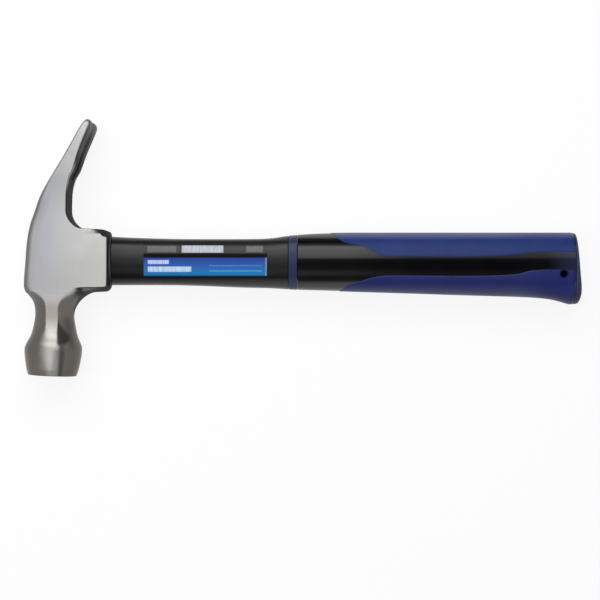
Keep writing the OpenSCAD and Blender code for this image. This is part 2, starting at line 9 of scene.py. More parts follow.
# %% Load the frame
import bpy
import bmesh
import math
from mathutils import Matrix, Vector


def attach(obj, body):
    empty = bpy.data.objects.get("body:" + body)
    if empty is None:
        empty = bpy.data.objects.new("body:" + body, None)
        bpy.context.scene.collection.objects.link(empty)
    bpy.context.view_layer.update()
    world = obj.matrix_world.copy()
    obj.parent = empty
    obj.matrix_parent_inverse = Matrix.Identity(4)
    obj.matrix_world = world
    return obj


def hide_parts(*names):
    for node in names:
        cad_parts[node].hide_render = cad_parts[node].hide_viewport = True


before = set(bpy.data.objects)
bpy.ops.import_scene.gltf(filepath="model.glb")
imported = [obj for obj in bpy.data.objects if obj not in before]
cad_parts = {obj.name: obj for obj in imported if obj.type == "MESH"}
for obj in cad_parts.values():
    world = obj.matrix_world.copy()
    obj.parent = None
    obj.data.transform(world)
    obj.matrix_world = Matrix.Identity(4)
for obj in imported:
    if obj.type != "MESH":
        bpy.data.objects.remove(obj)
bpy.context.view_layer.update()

# %% [markdown]
# A drawing of a hammer is measured from the point where the handle's axis crosses the poll's
# axis. So the helpers below take millimetres from that crossing, and `place` turns them into
# metres in the frame.

# %% Place and small helpers
CROSSING = Vector((-0.146856, -0.007726, 0.01736))
PER_METRE = 1000


def place(x, y, z):
    return CROSSING + Vector((x, y, z)) / PER_METRE


def mix(a, b, share):
    return a + (b - a) * share


def lookup(table, p):
    """A straight line from point to point of a table of (place, value) pairs."""
    if p <= table[0][0]:
        return table[0][1]
    for (a, u), (b, v) in zip(table, table[1:]):
        if p <= b:
            return mix(u, v, (p - a) / (b - a))
    return table[-1][1]


def smooth(table, p):
    """A smooth curve through the same kind of table."""
    if p <= table[0][0]:
        return table[0][1]
    if p >= table[-1][0]:
        return table[-1][1]
    i = max(k for k in range(len(table) - 1) if table[k][0] <= p)

    def slope(k):
        a, b = max(k - 1, 0), min(k + 1, len(table) - 1)
        return (table[b][1] - table[a][1]) / (table[b][0] - table[a][0])

    w = table[i + 1][0] - table[i][0]
    u = (p - table[i][0]) / w
    a = 2 * u ** 3 - 3 * u ** 2 + 1
    return (a * table[i][1] + (1 - a) * table[i + 1][1]
            + w * ((u ** 3 - 2 * u ** 2 + u) * slope(i) + (u ** 3 - u ** 2) * slope(i + 1)))


def soft_step(value, low, high):
    """0 up to low, 1 from high on, and an S between them."""
    t = min(1, max(0, (value - low) / (high - low)))
    return t * t * (3 - 2 * t)


def window(value, rise, full, hold, gone):
    """0 outside, 1 from full to hold, with soft edges."""
    return soft_step(value, rise, full) * (1 - soft_step(value, hold, gone))


# %% [markdown]
# Most pieces are closed skins through a row of rings. One helper joins the rings, closes both
# ends, turns the faces outwards and hands back an object that sits at the origin.

# %% Skins through rings
SHARP = math.radians(38)          # an edge that turns more than this stays crisp


def new_object(name, mesh):
    thing = bpy.data.objects.new(name, mesh)
    bpy.context.scene.collection.objects.link(thing)
    return thing


def skin_through(name, rings):
    shape = bmesh.new()
    rows = [[shape.verts.new(place(*p)) for p in ring] for ring in rings]
    count = len(rings[0])
    for near, far in zip(rows, rows[1:]):
        for i in range(count):
            j = (i + 1) % count
            shape.faces.new((near[i], near[j], far[j], far[i]))
    shape.faces.new(rows[0][::-1])
    shape.faces.new(rows[-1])
    bmesh.ops.recalc_face_normals(shape, faces=shape.faces)
    mesh = bpy.data.meshes.new(name)
    shape.to_mesh(mesh)
    shape.free()
    return new_object(name, mesh)


def bake_modifiers(thing, sharp=SHARP):
    """Turns the object with its modifiers into one plain mesh, smooth but for sharp edges."""
    graph = bpy.context.evaluated_depsgraph_get()
    mesh = bpy.data.meshes.new_from_object(thing.evaluated_get(graph))
    thing.modifiers.clear()
    thing.data = mesh
    mesh.shade_smooth()
    mesh.set_sharp_from_angle(angle=sharp)


def subdivide(thing, levels):
    finer = thing.modifiers.new("Finer", "SUBSURF")
    finer.levels = levels
    finer.render_levels = levels


def cut(thing, *cutters):
    for cutter in cutters:
        knife = thing.modifiers.new("Cut", "BOOLEAN")
        knife.operation = "DIFFERENCE"
        knife.solver = "EXACT"
        knife.object = cutter
    bake_modifiers(thing)
    for cutter in cutters:
        bpy.data.objects.remove(cutter)


def count_faces(thing):
    print(thing.name, len(thing.data.polygons), "faces")


# %% [markdown]
# ## The forged head
#
# The head is one forging: claw, flat cheeks, eye boss, octagonal neck and round bell. It could
# be carved from a block, but its outline is known from the side, so it is drawn as rings from
# the claw tips down to the striking face. Each ring has four flats and four corners. A corner
# is a narrow edge on the cheeks, a wide chamfer on the neck, and a round on the bell.

# %% Sizes of the head
# Along the head, up or down from the crossing
CLAW, TOP, BOTTOM, NECK, BELL, POLL_END = 84, 19.4, 17.8, 31, 52, 68
# Towards the butt from the crossing: the back, the eye's mouth and how far the claw sweeps
BACK, MOUTH, SWEEP = 19, 31.7, 22.4
# Half thicknesses and radii
CHEEK, TINES, NECK_R, BELL_R, RIM_R, FACE_R = 12.5, 17.2, 11.4, 17.3, 15.5, 14.5
# Rounds and edges: hollow under the claw, corners of the boss, broken edge of the cheek,
# round of the back, drop of the fillet under the boss, chamfer of the face
HOLLOW, CORNER, EDGE, BACK_R, FILLET_DROP, CHAMFER = 11.5, 3.4, 1.1, 4.5, 2.7, 3.2
# The neck's octagon: half of a flat, depth of a corner as a share, and how round it is
FLAT, CORNER_DEPTH, OCTAGON_ROUND = 3.7, 0.8, 1.2
SHOULDER_SHIFT = 0.35             # the bell's shoulder bulges towards the handle
LEAN = math.radians(2.4)          # the poll leans back

# %% [markdown]
# Stations number the head's places: 0 is the bell, 1 the neck, 2 the foot of the boss, 3 its top
# and 4 the claw's tips. Each table below gives one shape from station to station. Edges are
# shares of the way from the back to the sweep, and depths are shares of the half thickness.

# %% Outlines of the head
STATIONS = [(-BELL, 0), (-NECK, 1), (-BOTTOM, 2), (TOP, 3), (CLAW, 4)]
HOLLOW_FOOT = 2.12                # the station where the back turns into the neck's hollow
BACK_EDGE = [(2.12, 0), (2.44, 0.027), (2.76, 0.05), (3.01, 0.09), (3.158, 0.165),
             (3.3, 0.252), (3.45, 0.393), (3.66, 0.6), (3.88, 0.795), (3.957, 0.864),
             (4, 0.925)]
BACK_UNDER = [(1, 0), (1.25, 0.01), (1.44, 0.07), (1.62, 0.22), (1.8, 0.48), (1.985, 0.79),
              (2.05, 0.92), (2.12, 1)]
CLAW_EDGE = [(3.2, 0.64), (3.29, 0.64), (3.37, 0.646), (3.44, 0.67), (3.475, 0.684),
             (3.52, 0.724), (3.553, 0.753), (3.7, 0.832), (3.86, 0.938), (3.93, 0.985),
             (3.966, 1), (3.99, 0.985), (4, 0.97)]
SPREAD = [(3.05, 0), (3.2, 0.06), (3.35, 0.3), (3.5, 0.68), (3.65, 0.93), (3.8, 1),
          (3.94, 0.98), (3.98, 0.86), (4, 0.62)]
CLAW_BEVEL = [(3, 0.9), (3.3, 0.5), (3.4, 0.2), (3.5, 0.35), (3.6, 0.8), (3.7, 1.1), (3.9, 1.9),
              (4, 1.6)]
BACK_ROUND = [(2, 1), (3.2, 0.9), (3.35, 0.7), (3.45, 0.35), (4, 0.3)]
BACK_DEPTH = [(1, 0.8), (1.6, 0.64), (2, 0.45), (3.2, 0.36), (3.4, 0.12), (4, 0.1)]
INNER_DEPTH = [(1, 0.8), (1.5, 0.66), (1.9, 0.34), (2, 0.3), (2.1, 0.12), (2.9, 0.09),
               (3.1, 0.12), (4, 0.14)]
POLL = [(0, 0), (0.11, 0.02), (0.33, 0.16), (0.54, 0.34), (0.655, 0.475), (0.764, 0.68),
        (0.873, 0.87), (1, 1)]
ROUNDNESS = [(1, OCTAGON_ROUND), (1.5, OCTAGON_ROUND), (1.9, 1.9), (4, 2)]


def poll_x(y):
    return y * math.tan(LEAN)


def poll_r(along):
    return mix(NECK_R, BELL_R, smooth(POLL, (along - NECK) / (BELL - NECK)))


def on_back(share):
    return mix(-BACK, SWEEP, share)


def back_x(y):
    s = lookup(STATIONS, y)
    if s < HOLLOW_FOOT:
        return mix(poll_x(-NECK) - NECK_R, -BACK, smooth(BACK_UNDER, s))
    return on_back(smooth(BACK_EDGE, s))


def neck_sweep(y, x, drop=0):
    """The hollow from the neck out to the boss, fuller than a quarter circle."""
    r, full = NECK - BOTTOM, 1.75
    up = max(0, min(1, (y + BOTTOM - drop + r) / r))
    return x + r * (1 - (1 - up ** full) ** (1 / full))


def inner_x(y, edge=0):
    """The head's side towards the handle, or the cheek's edge, which lies `edge` inside it."""
    if y >= TOP + HOLLOW:
        return on_back(smooth(CLAW_EDGE, lookup(STATIONS, y)))
    if y > TOP - edge:
        r, up = HOLLOW + edge, TOP + HOLLOW - y
        return on_back(CLAW_EDGE[0][1]) + HOLLOW - math.sqrt(max(0, r * r - up * up))
    if y > -BOTTOM:
        r = CORNER - edge
        out = min(r, max(0, y - TOP + CORNER, CORNER - BOTTOM - y))
        return MOUTH - CORNER + math.sqrt(r * r - out * out)
    return neck_sweep(y, poll_x(-NECK) + NECK_R)


def cheek_edges(y):
    """Where the flat cheek starts and ends between the back and the inner edge."""
    s = lookup(STATIONS, y)
    middle = poll_x(-NECK)
    if s >= HOLLOW_FOOT:
        back = back_x(y) + BACK_R * lookup(BACK_ROUND, s)
    else:
        back = mix(middle - FLAT, back_x(y) + BACK_R, smooth(BACK_UNDER, s))
    if y >= TOP + HOLLOW:
        front = inner_x(y) - EDGE * lookup(CLAW_BEVEL, s)
    elif y >= -BOTTOM + FILLET_DROP:
        front = inner_x(y, EDGE)
    else:
        front = min(MOUTH - EDGE, neck_sweep(y, middle + FLAT, FILLET_DROP))
    front = max(min(front, inner_x(y) - EDGE * 0.2), mix(back_x(y), inner_x(y), 0.45))
    return min(back, mix(back_x(y), front, 0.6)), front


def half_thickness(y):
    s = lookup(STATIONS, y)
    return mix(NECK_R, CHEEK, s - 1) if s < 2 else mix(CHEEK, TINES, smooth(SPREAD, s))


# %% [markdown]
# A subdivided skin rounds off every edge of its cage. Points that are held close to an edge keep
# it crisp, so each flat carries one near each end, and each corner has one near each side.

# %% Rings of the head
CORNER_ANGLES = (0, 20, 35, 55, 70, 90)
HOLD, HOLD_SHARE = 0.7, 0.28      # how far from an edge a flat is held, in mm or as a share


def corner_points(outer, inner, high, drop, roundness):
    """From the side (outer, high - drop) round to the top (inner, high)."""
    points = []
    for a in CORNER_ANGLES:
        c, s = math.cos(math.radians(a)), math.sin(math.radians(a))
        points.append((mix(inner, outer, max(c, 0) ** (2 / roundness)),
                       high - drop + drop * max(s, 0) ** (2 / roundness)))
    return points


def held(a, b):
    """Two points on the flat from a to b, near its ends."""
    size = math.dist(a, b)
    share = min(HOLD_SHARE, HOLD / size) if size else HOLD_SHARE
    return [(mix(a[0], b[0], t), mix(a[1], b[1], t)) for t in (share, 1 - share)]


def ring_outline(back, front, back_edge, front_edge, high, back_drop, front_drop, roundness):
    """Four flats and four corners: sides at back and front, and the cheek between its edges."""
    front = corner_points(front, front_edge, high, front_drop, roundness)
    back = corner_points(back, back_edge, high, back_drop, roundness)[::-1]
    low_back = [(x, -z) for x, z in back[::-1]]
    low_front = [(x, -z) for x, z in front[::-1]]
    parts = [front, back, low_back, low_front]
    ring = []
    for part, following in zip(parts, parts[1:] + parts[:1]):
        ring += part + held(part[-1], following[0])
    return ring


def head_ring(y):
    s = lookup(STATIONS, y)
    high = half_thickness(y)
    ring = ring_outline(back_x(y), inner_x(y), *cheek_edges(y), high,
                        high * lookup(BACK_DEPTH, s), high * lookup(INNER_DEPTH, s),
                        lookup(ROUNDNESS, s))
    tilt, middle = LEAN * max(0, 2 - s), poll_x(y)
    return [(middle + (x - middle) * math.cos(tilt), y - (x - middle) * math.sin(tilt), z)
            for x, z in ring]


def poll_ring(along, radius, circle_share, shift=0.0):
    """A ring square to the poll: 0 is the neck's octagon, 1 a circle with evenly spread points."""
    depth = radius * CORNER_DEPTH
    octagon = ring_outline(-radius, radius, -FLAT, FLAT, radius, depth, depth, OCTAGON_ROUND)
    step = math.tau / len(octagon)
    turns = [math.atan2(z, x) % math.tau for x, z in octagon]
    order = sorted(range(len(octagon)), key=lambda i: turns[i])
    first = sum(turns[i] - step * rank for rank, i in enumerate(order)) / len(octagon)
    even = {i: first + step * rank for rank, i in enumerate(order)}
    points = []
    for i, (x, z) in enumerate(octagon):
        angle = mix(turns[i], even[i], circle_share)
        x = mix(x, radius * math.cos(angle), circle_share)
        z = mix(z, radius * math.sin(angle), circle_share)
        points.append((shift - along * math.sin(LEAN) + x * math.cos(LEAN),
                       -along * math.cos(LEAN) - x * math.sin(LEAN), z))
    return points


# %% [markdown]
# The rows lie close together where the outline turns quickly: at the tips, in the hollow under
# the claw, at the corners of the eye boss and under it. On the bell they follow its shoulder,
# the slant to the rim, the chamfer and the face.

# %% Rows of the head
claw_rows = [mix(TOP, CLAW, v) for v in (1, 0.997, 0.99, 0.975, 0.95, 0.91, 0.86, 0.8, 0.74, 0.68,
             0.62, 0.57, 0.545, 0.52, 0.497, 0.475, 0.45, 0.42, 0.385, 0.34, 0.29, 0.25, 0.21)]
hollow_rows = [TOP + HOLLOW * v for v in (0.94, 0.8, 0.64, 0.48, 0.33, 0.2, 0.11, 0.05, 0.015)]
edge_rows = [TOP - EDGE * v for v in (0.12, 0.9, 1.06)]
corner_rows = [TOP - EDGE * 1.1 - (CORNER - EDGE * 1.1) * (1 - math.cos(math.radians(a)))
               for a in (10, 25, 42, 60, 78)]
boss_rows = [mix(CORNER - BOTTOM, TOP - CORNER, v) for v in (0.9, 0.8, 0.65, 0.5, 0.35, 0.2)]
low_rows = [-BOTTOM + CORNER * (1 - math.cos(math.radians(a)))
            for a in (88, 76, 62, 48, 34, 20, 8)] + [-BOTTOM + FILLET_DROP]
neck_rows = [mix(-BOTTOM, -NECK, v) for v in (0.02, 0.05, 0.09, 0.15, 0.23, 0.33, 0.45, 0.6, 0.8)]
rows = sorted(claw_rows + hollow_rows + edge_rows + corner_rows + boss_rows + low_rows
              + neck_rows, reverse=True)
rings = [head_ring(y) for y in rows]
print(len(rings), "rings from the claw to the neck")

# %% Close the claw and add the poll
tip = rings[0]
centre = [sum(p[k] for p in tip) / len(tip) for k in range(3)]
rings = [[tuple(mix(centre[k], p[k], size) for k in range(3)) for p in tip]
         for size in (0.4, 0.86)] + rings
for share in (0, 0.1, 0.2, 0.3, 0.4, 0.5, 0.6, 0.7, 0.8, 0.9, 0.97):
    along = mix(NECK, BELL, share)
    circle_share = min(1, max(0, (share - 0.15) / 0.45))
    shift = SHOULDER_SHIFT * math.sin(math.pi * min(1, share * 0.9))
    rings.append(poll_ring(along, poll_r(along), circle_share, shift))
rim_at = POLL_END - CHAMFER
for share, out in ((0.06, 0.99), (0.2, 0.93), (0.45, 0.74), (0.8, 0.3), (0.97, 0.06), (1, 0)):
    rings.append(poll_ring(mix(BELL, rim_at, share), mix(RIM_R, BELL_R, out), 1))
for share in (0.12, 0.88, 1):
    rings.append(poll_ring(mix(rim_at, POLL_END, share), mix(RIM_R, FACE_R, share), 1))
for radius in (FACE_R - 0.5, 10, 5, 1):
    rings.append(poll_ring(POLL_END, radius, 1))
head = skin_through("forged_head", rings)
subdivide(head, 2)
bake_modifiers(head)
count_faces(head)

# %% [markdown]
# ## Nail slot and eye
#
# The slot splits the claw into two tines. Its walls are bevelled on the inner side, where the
# nail's head bites, and only broken at the back. The cutter is a skin too, with rings that
# follow the claw, so the bevel keeps its width all along. The eye is cut through the boss.

# %% Cutter for the nail slot
SLOT_LEN, SLOT_MOUTH, SLOT_ROOT, SLOT_LEAN = 37, 11, 2.4, math.radians(25)
SLOT_BEVEL, SLOT_CHIP, CLEAR, WIDER = 1.7, 0.6, 3, 2.4    # the last two: behind the claw
slot_y = CLAW - SLOT_LEN * math.cos(SLOT_LEAN)


def slot_ring(y, wide):
    back, inner = back_x(min(y, CLAW - 1)), inner_x(min(y, CLAW - 1))
    bevel = min(SLOT_BEVEL, (inner - back) * 0.4)
    chip = min(SLOT_CHIP, (inner - back) * 0.2)
    half = [(back - CLEAR, wide + WIDER), (back + chip, wide), (mix(back, inner, 0.5), wide),
            (inner - bevel, wide), (inner + SLOT_BEVEL, wide + SLOT_BEVEL + bevel * 0.7)]
    return [(x, y, z) for x, z in half] + [(x, y, -z) for x, z in half[::-1]]


slot_rings = []
for angle in (8, 25, 45, 65, 90):
    a = math.radians(angle)
    slot_rings.append(slot_ring(slot_y - SLOT_ROOT / 2 * math.cos(a) * 1.1,
                                SLOT_ROOT / 2 * math.sin(a)))
for share in (0.1, 0.2, 0.3, 0.4, 0.5, 0.6, 0.7, 0.8, 0.9, 1, 1.1):
    y = mix(slot_y, CLAW, share)
    slot_rings.append(slot_ring(y, mix(SLOT_ROOT, SLOT_MOUTH, share) / 2))
slot_cutter = skin_through("slot_cutter", slot_rings)

# %% Cutter for the eye
# Depth and width of the hole at the mouth, at the back and at the waist between them
EYE_MOUTH, EYE_BACK, EYE_WAIST, EYE_SQUARE = (26, 17), (27, 18), (24, 15.4), 2.6
WAIST = [(0, 0), (0.4, 0.75), (0.55, 1), (0.7, 0.75), (1, 0)]


def oval(angle, deep, wide, squareness):
    """A point on an oval across the handle: 0 faces +Z and 90 degrees faces +Y."""
    s, c = math.sin(angle), math.cos(angle)
    return (deep * math.copysign(abs(s) ** (2 / squareness), s),
            wide * math.copysign(abs(c) ** (2 / squareness), c))


def eye_ring(x, grow=0.0, points=72):
    share = min(1, max(0, (MOUTH - x) / (MOUTH + BACK)))
    deep, wide = (mix(mix(mouth, back, share), waist, smooth(WAIST, share)) / 2 + grow
                  for mouth, back, waist in zip(EYE_MOUTH, EYE_BACK, EYE_WAIST))
    return [(x, *oval(math.tau * i / points, deep, wide, EYE_SQUARE)) for i in range(points)]


eye_cutter = skin_through("eye_cutter", [
    eye_ring(-BACK - 1, 1.6), eye_ring(-BACK + 0.6), eye_ring(-10), eye_ring(0), eye_ring(10),
    eye_ring(20), eye_ring(MOUTH - 0.5), eye_ring(MOUTH + 1, 1.5)])
cut(head, slot_cutter, eye_cutter)
count_faces(head)
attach(head, "root")
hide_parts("head")

# %% [markdown]
# ## Shape of the handle
#
# From the mouth of the eye to the butt the handle is an oval that changes slowly: straight
# sleeve, a swell into the grip, and a flare at the butt. Four curves give its top, bottom, half
# width and squareness along the way. They are written once and used by every handle piece.

# %% Curves of the handle
RING_AT, RING_W, GRIP_END, SEAL = 138.8, 5.4, 309, 1.6
# Height over the axis, depth under it and half width, each at its smallest and its biggest
HIGH, LOW, HALF, BUTT_FLARE, SQUARE = (13.8, 17.4), (14, 25.4), (10, 13.5), 3, 2.7
TOP_SHARE = [(0, 0.4), (0.16, 0.18), (0.4, 0), (0.8, 0), (0.9, 0.12), (1, 0.54), (1.07, 0.82),
             (1.16, 0.97), (1.3, 1), (2, 1)]
BOTTOM_SHARE = [(0, 0), (0.34, 0), (0.5, 0.035), (0.73, 0.12), (0.9, 0.16), (1.04, 0.24),
                (1.18, 0.3), (1.46, 0.43), (1.6, 0.5), (1.74, 0.56), (1.86, 0.63),
                (1.92, 0.72), (1.96, 0.86), (1.985, 0.97), (2, 1)]
WIDTH_SHARE = [(0, 0), (0.85, 0.03), (1, 0.36), (1.15, 0.72), (1.35, 0.95), (1.6, 1), (1.8, 1)]
FLARE_SHARE = [(1.78, 0), (1.88, 0.2), (1.95, 0.66), (2, 1)]
SQUARE_SHARE = [(0, 1), (0.95, 1), (1.2, 0.9), (1.8, 0.87), (2, 0.9)]


def handle_u(x):
    """0 at the eye's mouth, 1 at the ring and 2 at the butt."""
    if x < RING_AT:
        return (x - MOUTH) / (RING_AT - MOUTH)
    return 1 + (x - RING_AT) / (GRIP_END - RING_AT)


def top_of(x):
    return mix(*HIGH, smooth(TOP_SHARE, handle_u(x)))


def bottom_of(x):
    return mix(*LOW, smooth(BOTTOM_SHARE, handle_u(x)))


def half_width(x):
    u = handle_u(x)
    return mix(*HALF, smooth(WIDTH_SHARE, u)) + BUTT_FLARE * smooth(FLARE_SHARE, u)


def squareness(x):
    return SQUARE * lookup(SQUARE_SHARE, handle_u(x))


def on_handle(x, angle, up=0.0):
    """A point on the handle's skin, raised by `up`."""
    deep, wide = (top_of(x) + bottom_of(x)) / 2, half_width(x)
    across = oval(angle, deep + up, wide + up, squareness(x))
    return (x, (top_of(x) - bottom_of(x)) / 2 + across[0], across[1])


# %% [markdown]
# ## A Geometry Nodes tree for the skin
#
# Sleeve, ring, seal and grip are stretches of one rule, so one tree makes them all. It starts
# from a flat grid: one side runs along the handle, the other round it. Float curves hold the
# four shapes, and the ends are rolled in by a small radius so that each seam shows.

# %% Helpers for the tree
DENSE = 0.945                     # from here to the butt the curves have more points
SAMPLES = [i / 60 for i in range(57)] + [DENSE + i * (1 - DENSE) / 14 for i in range(15)]


def float_curve(tree, values):
    """A float curve node that passes through (place, value) pairs between 0 and 1."""
    node = tree.nodes.new("ShaderNodeFloatCurve")
    line = node.mapping.curves[0]
    while len(line.points) > 2:
        line.points.remove(line.points[1])
    line.points[0].location, line.points[-1].location = values[0], values[-1]
    for spot in values[1:-1]:
        line.points.new(*spot)
    node.mapping.update()
    return node


def calc(tree, kind, *values):
    node = tree.nodes.new("ShaderNodeMath")
    node.operation = kind
    for i, value in enumerate(values):
        if isinstance(value, (int, float)):
            node.inputs[i].default_value = value
        else:
            tree.links.new(value, node.inputs[i])
    return node.outputs[0]


def shape_along(tree, along, measure):
    """One of the handle's shapes, read from the place along it."""
    spots = [(t, measure(mix(MOUTH, GRIP_END, t))) for t in SAMPLES]
    biggest = max(v for _, v in spots)
    node = float_curve(tree, [(t, v / biggest) for t, v in spots])
    tree.links.new(along, node.inputs["Value"])
    return calc(tree, "MULTIPLY", node.outputs[0], biggest)


def signed_power(tree, value, power):
    size = calc(tree, "POWER", calc(tree, "ABSOLUTE", value), power)
    return calc(tree, "MULTIPLY", size, calc(tree, "SIGN", value))


# %% The tree's inputs and its grid
skin = bpy.data.node_groups.new("Handle skin", "GeometryNodeTree")
for label, kind, value in (("Start", "NodeSocketFloat", 0.0), ("End", "NodeSocketFloat", 0.1),
                           ("Rise", "NodeSocketFloat", 0.0), ("Roll", "NodeSocketFloat", 0.0004),
                           ("Rows", "NodeSocketInt", 40), ("Columns", "NodeSocketInt", 96),
                           ("Material", "NodeSocketMaterial", None)):
    socket = skin.interface.new_socket(name=label, in_out="INPUT", socket_type=kind)
    if value is not None:
        socket.default_value = value
skin.interface.new_socket(name="Geometry", in_out="OUTPUT", socket_type="NodeSocketGeometry")
given = skin.nodes.new("NodeGroupInput").outputs
grid = skin.nodes.new("GeometryNodeMeshGrid")
skin.links.new(given["Rows"], grid.inputs["Vertices X"])
skin.links.new(given["Columns"], grid.inputs["Vertices Y"])
spot = skin.nodes.new("GeometryNodeInputPosition")
split = skin.nodes.new("ShaderNodeSeparateXYZ")
skin.links.new(spot.outputs[0], split.inputs[0])

# %% [markdown]
# Rows crowd towards both ends, because that is where the roll is: the share along the piece is
# bent by a smooth step. The roll itself is a quarter circle, worked out from the distance to
# the nearer end.

# %% Along and round
def rule(kind, *values):
    """One more step of the skin's rule."""
    return calc(skin, kind, *values)


even = rule("ADD", split.outputs["X"], 0.5)
bend = rule("MULTIPLY", rule("SINE", rule("MULTIPLY", even, math.tau)), 0.15)
share = rule("SUBTRACT", even, bend)
length = rule("SUBTRACT", given["End"], given["Start"])
x_here = rule("ADD", given["Start"], rule("MULTIPLY", share, length))
along = rule("DIVIDE", rule("SUBTRACT", x_here, MOUTH / PER_METRE),
             (GRIP_END - MOUTH) / PER_METRE)
nearer = rule("MULTIPLY", rule("MINIMUM", share, rule("SUBTRACT", 1.0, share)), length)
inside = rule("SUBTRACT", 1.0, rule("MINIMUM", 1.0, rule("DIVIDE", nearer, given["Roll"])))
roll = rule("SUBTRACT", 1.0, rule("SQRT", rule("SUBTRACT", 1.0001, rule("POWER", inside, 2.0))))
rise = rule("SUBTRACT", given["Rise"], rule("MULTIPLY", roll, given["Roll"]))
turn = rule("MULTIPLY", rule("ADD", split.outputs["Y"], 0.5), math.tau)

# %% Section of the handle
top, bottom, wide = (shape_along(skin, along, lambda x, measure=measure: measure(x) / PER_METRE)
                     for measure in (top_of, bottom_of, half_width))
power = rule("DIVIDE", 2.0, shape_along(skin, along, squareness))
deep = rule("MULTIPLY", rule("ADD", top, bottom), 0.5)
centre = rule("MULTIPLY", rule("SUBTRACT", top, bottom), 0.5)
y_here = rule("ADD", centre, rule("MULTIPLY", rule("ADD", deep, rise),
                                  signed_power(skin, rule("SINE", turn), power)))
z_here = rule("MULTIPLY", rule("ADD", wide, rise),
              signed_power(skin, rule("COSINE", turn), power))

# %% Close the tree
join = skin.nodes.new("ShaderNodeCombineXYZ")
for value, part, shift in zip((x_here, y_here, z_here), "XYZ", CROSSING):
    skin.links.new(rule("ADD", value, shift), join.inputs[part])
move = skin.nodes.new("GeometryNodeSetPosition")
weld = skin.nodes.new("GeometryNodeMergeByDistance")
weld.inputs["Distance"].default_value = 4e-6
even_out = skin.nodes.new("GeometryNodeSetShadeSmooth")
real = skin.nodes.new("GeometryNodeRealizeInstances")
paint = skin.nodes.new("GeometryNodeSetMaterial")
skin.links.new(join.outputs[0], move.inputs["Position"])
skin.links.new(given["Material"], paint.inputs["Material"])
steps = (grid, move, weld, even_out, real, paint, skin.nodes.new("NodeGroupOutput"))
for step, following in zip(steps, steps[1:]):
    skin.links.new(step.outputs[0], following.inputs[0])
print("handle skin tree has", len(skin.nodes), "nodes")


# %% Use the tree
def skin_piece(name, start, end, rise, roll, rows, columns, node):
    thing = new_object(name, bpy.data.meshes.new(name))
    maker = thing.modifiers.new("Handle skin", "NODES")
    maker.node_group = skin
    wanted = {"Start": start / PER_METRE, "End": end / PER_METRE, "Rise": rise / PER_METRE,
              "Roll": roll / PER_METRE, "Rows": rows, "Columns": columns}
    for item in skin.interface.items_tree:
        if item.in_out == "INPUT" and item.name in wanted:
            maker[item.identifier] = wanted[item.name]
    bake_modifiers(thing)
    shape = bmesh.new()
    shape.from_mesh(thing.data)
    bmesh.ops.holes_fill(shape, edges=shape.edges)
    bmesh.ops.recalc_face_normals(shape, faces=shape.faces)
    shape.to_mesh(thing.data)
    shape.free()
    thing.data.set_sharp_from_angle(angle=SHARP)
    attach(thing, "root")
    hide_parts(node)
    count_faces(thing)
    return thing


GAP, ROLL, ROUND = 0.06, 0.5, 96  # beside a ring, the rolled end, and points round the skin
seal = skin_piece("eye_seal_ring", MOUTH + GAP, MOUTH + SEAL - GAP, 0.2, ROLL, 14, ROUND,
                  "eye_seal")
sleeve = skin_piece("handle_sleeve", MOUTH + SEAL, RING_AT, 0, ROLL, 120, ROUND,
                    "sleeve")
ring = skin_piece("accent_band", RING_AT + GAP, RING_AT + RING_W - GAP, 0, ROLL, 22, ROUND,
                  "accent_ring")
grip = skin_piece("grip_body", RING_AT + RING_W, GRIP_END, 0, ROLL, 200, ROUND,
                  "grip_base")

# %% [markdown]
# ## Soft panels
#
# The blue panels are moulded over the black grip, one over its top and one under it, and reach
# down both sides. Each is a closed strip: an outer skin that stands a little proud, rolled edges
# all round that sink into the grip, and an inner skin. The edge of each panel follows a curve
# that gives its height as a share of the handle's half depth.

# %% Shape the panels
UPPER_EDGE = [(0, 0.93), (0.035, 0.68), (0.07, 0.59), (0.105, 0.55), (0.145, 0.42), (0.2, 0.2),
              (0.25, 0.186), (0.6, 0.21), (0.75, 0.29), (0.82, 0.36), (1, 0.44)]
LOWER_EDGE = [(0, 0.93), (0.02, 0.78), (0.07, 0.65), (0.11, 0.54), (0.15, 0.465), (0.19, 0.43),
              (0.6, 0.366), (0.75, 0.29), (0.81, 0.17), (1, 0.05)]
PROUD, SUNK, EDGE_R = 0.25, -1.2, 0.7    # outer skin, inner skin and rolled edge
PANEL_ROWS, PANEL_STEPS = 110, 26        # points along a panel and round it
EDGE_ROLL = [(out * EDGE_R, -EDGE_R * (1 - math.sqrt(1 - (1 - out) ** 2)))
             for out in (0, 0.04, 0.15, 0.35, 0.65, 1)]


def angle_at(x, share):
    """Where round the handle a height of `share` times its half depth lies."""
    return math.asin(min(1, share) ** (squareness(x) / 2))


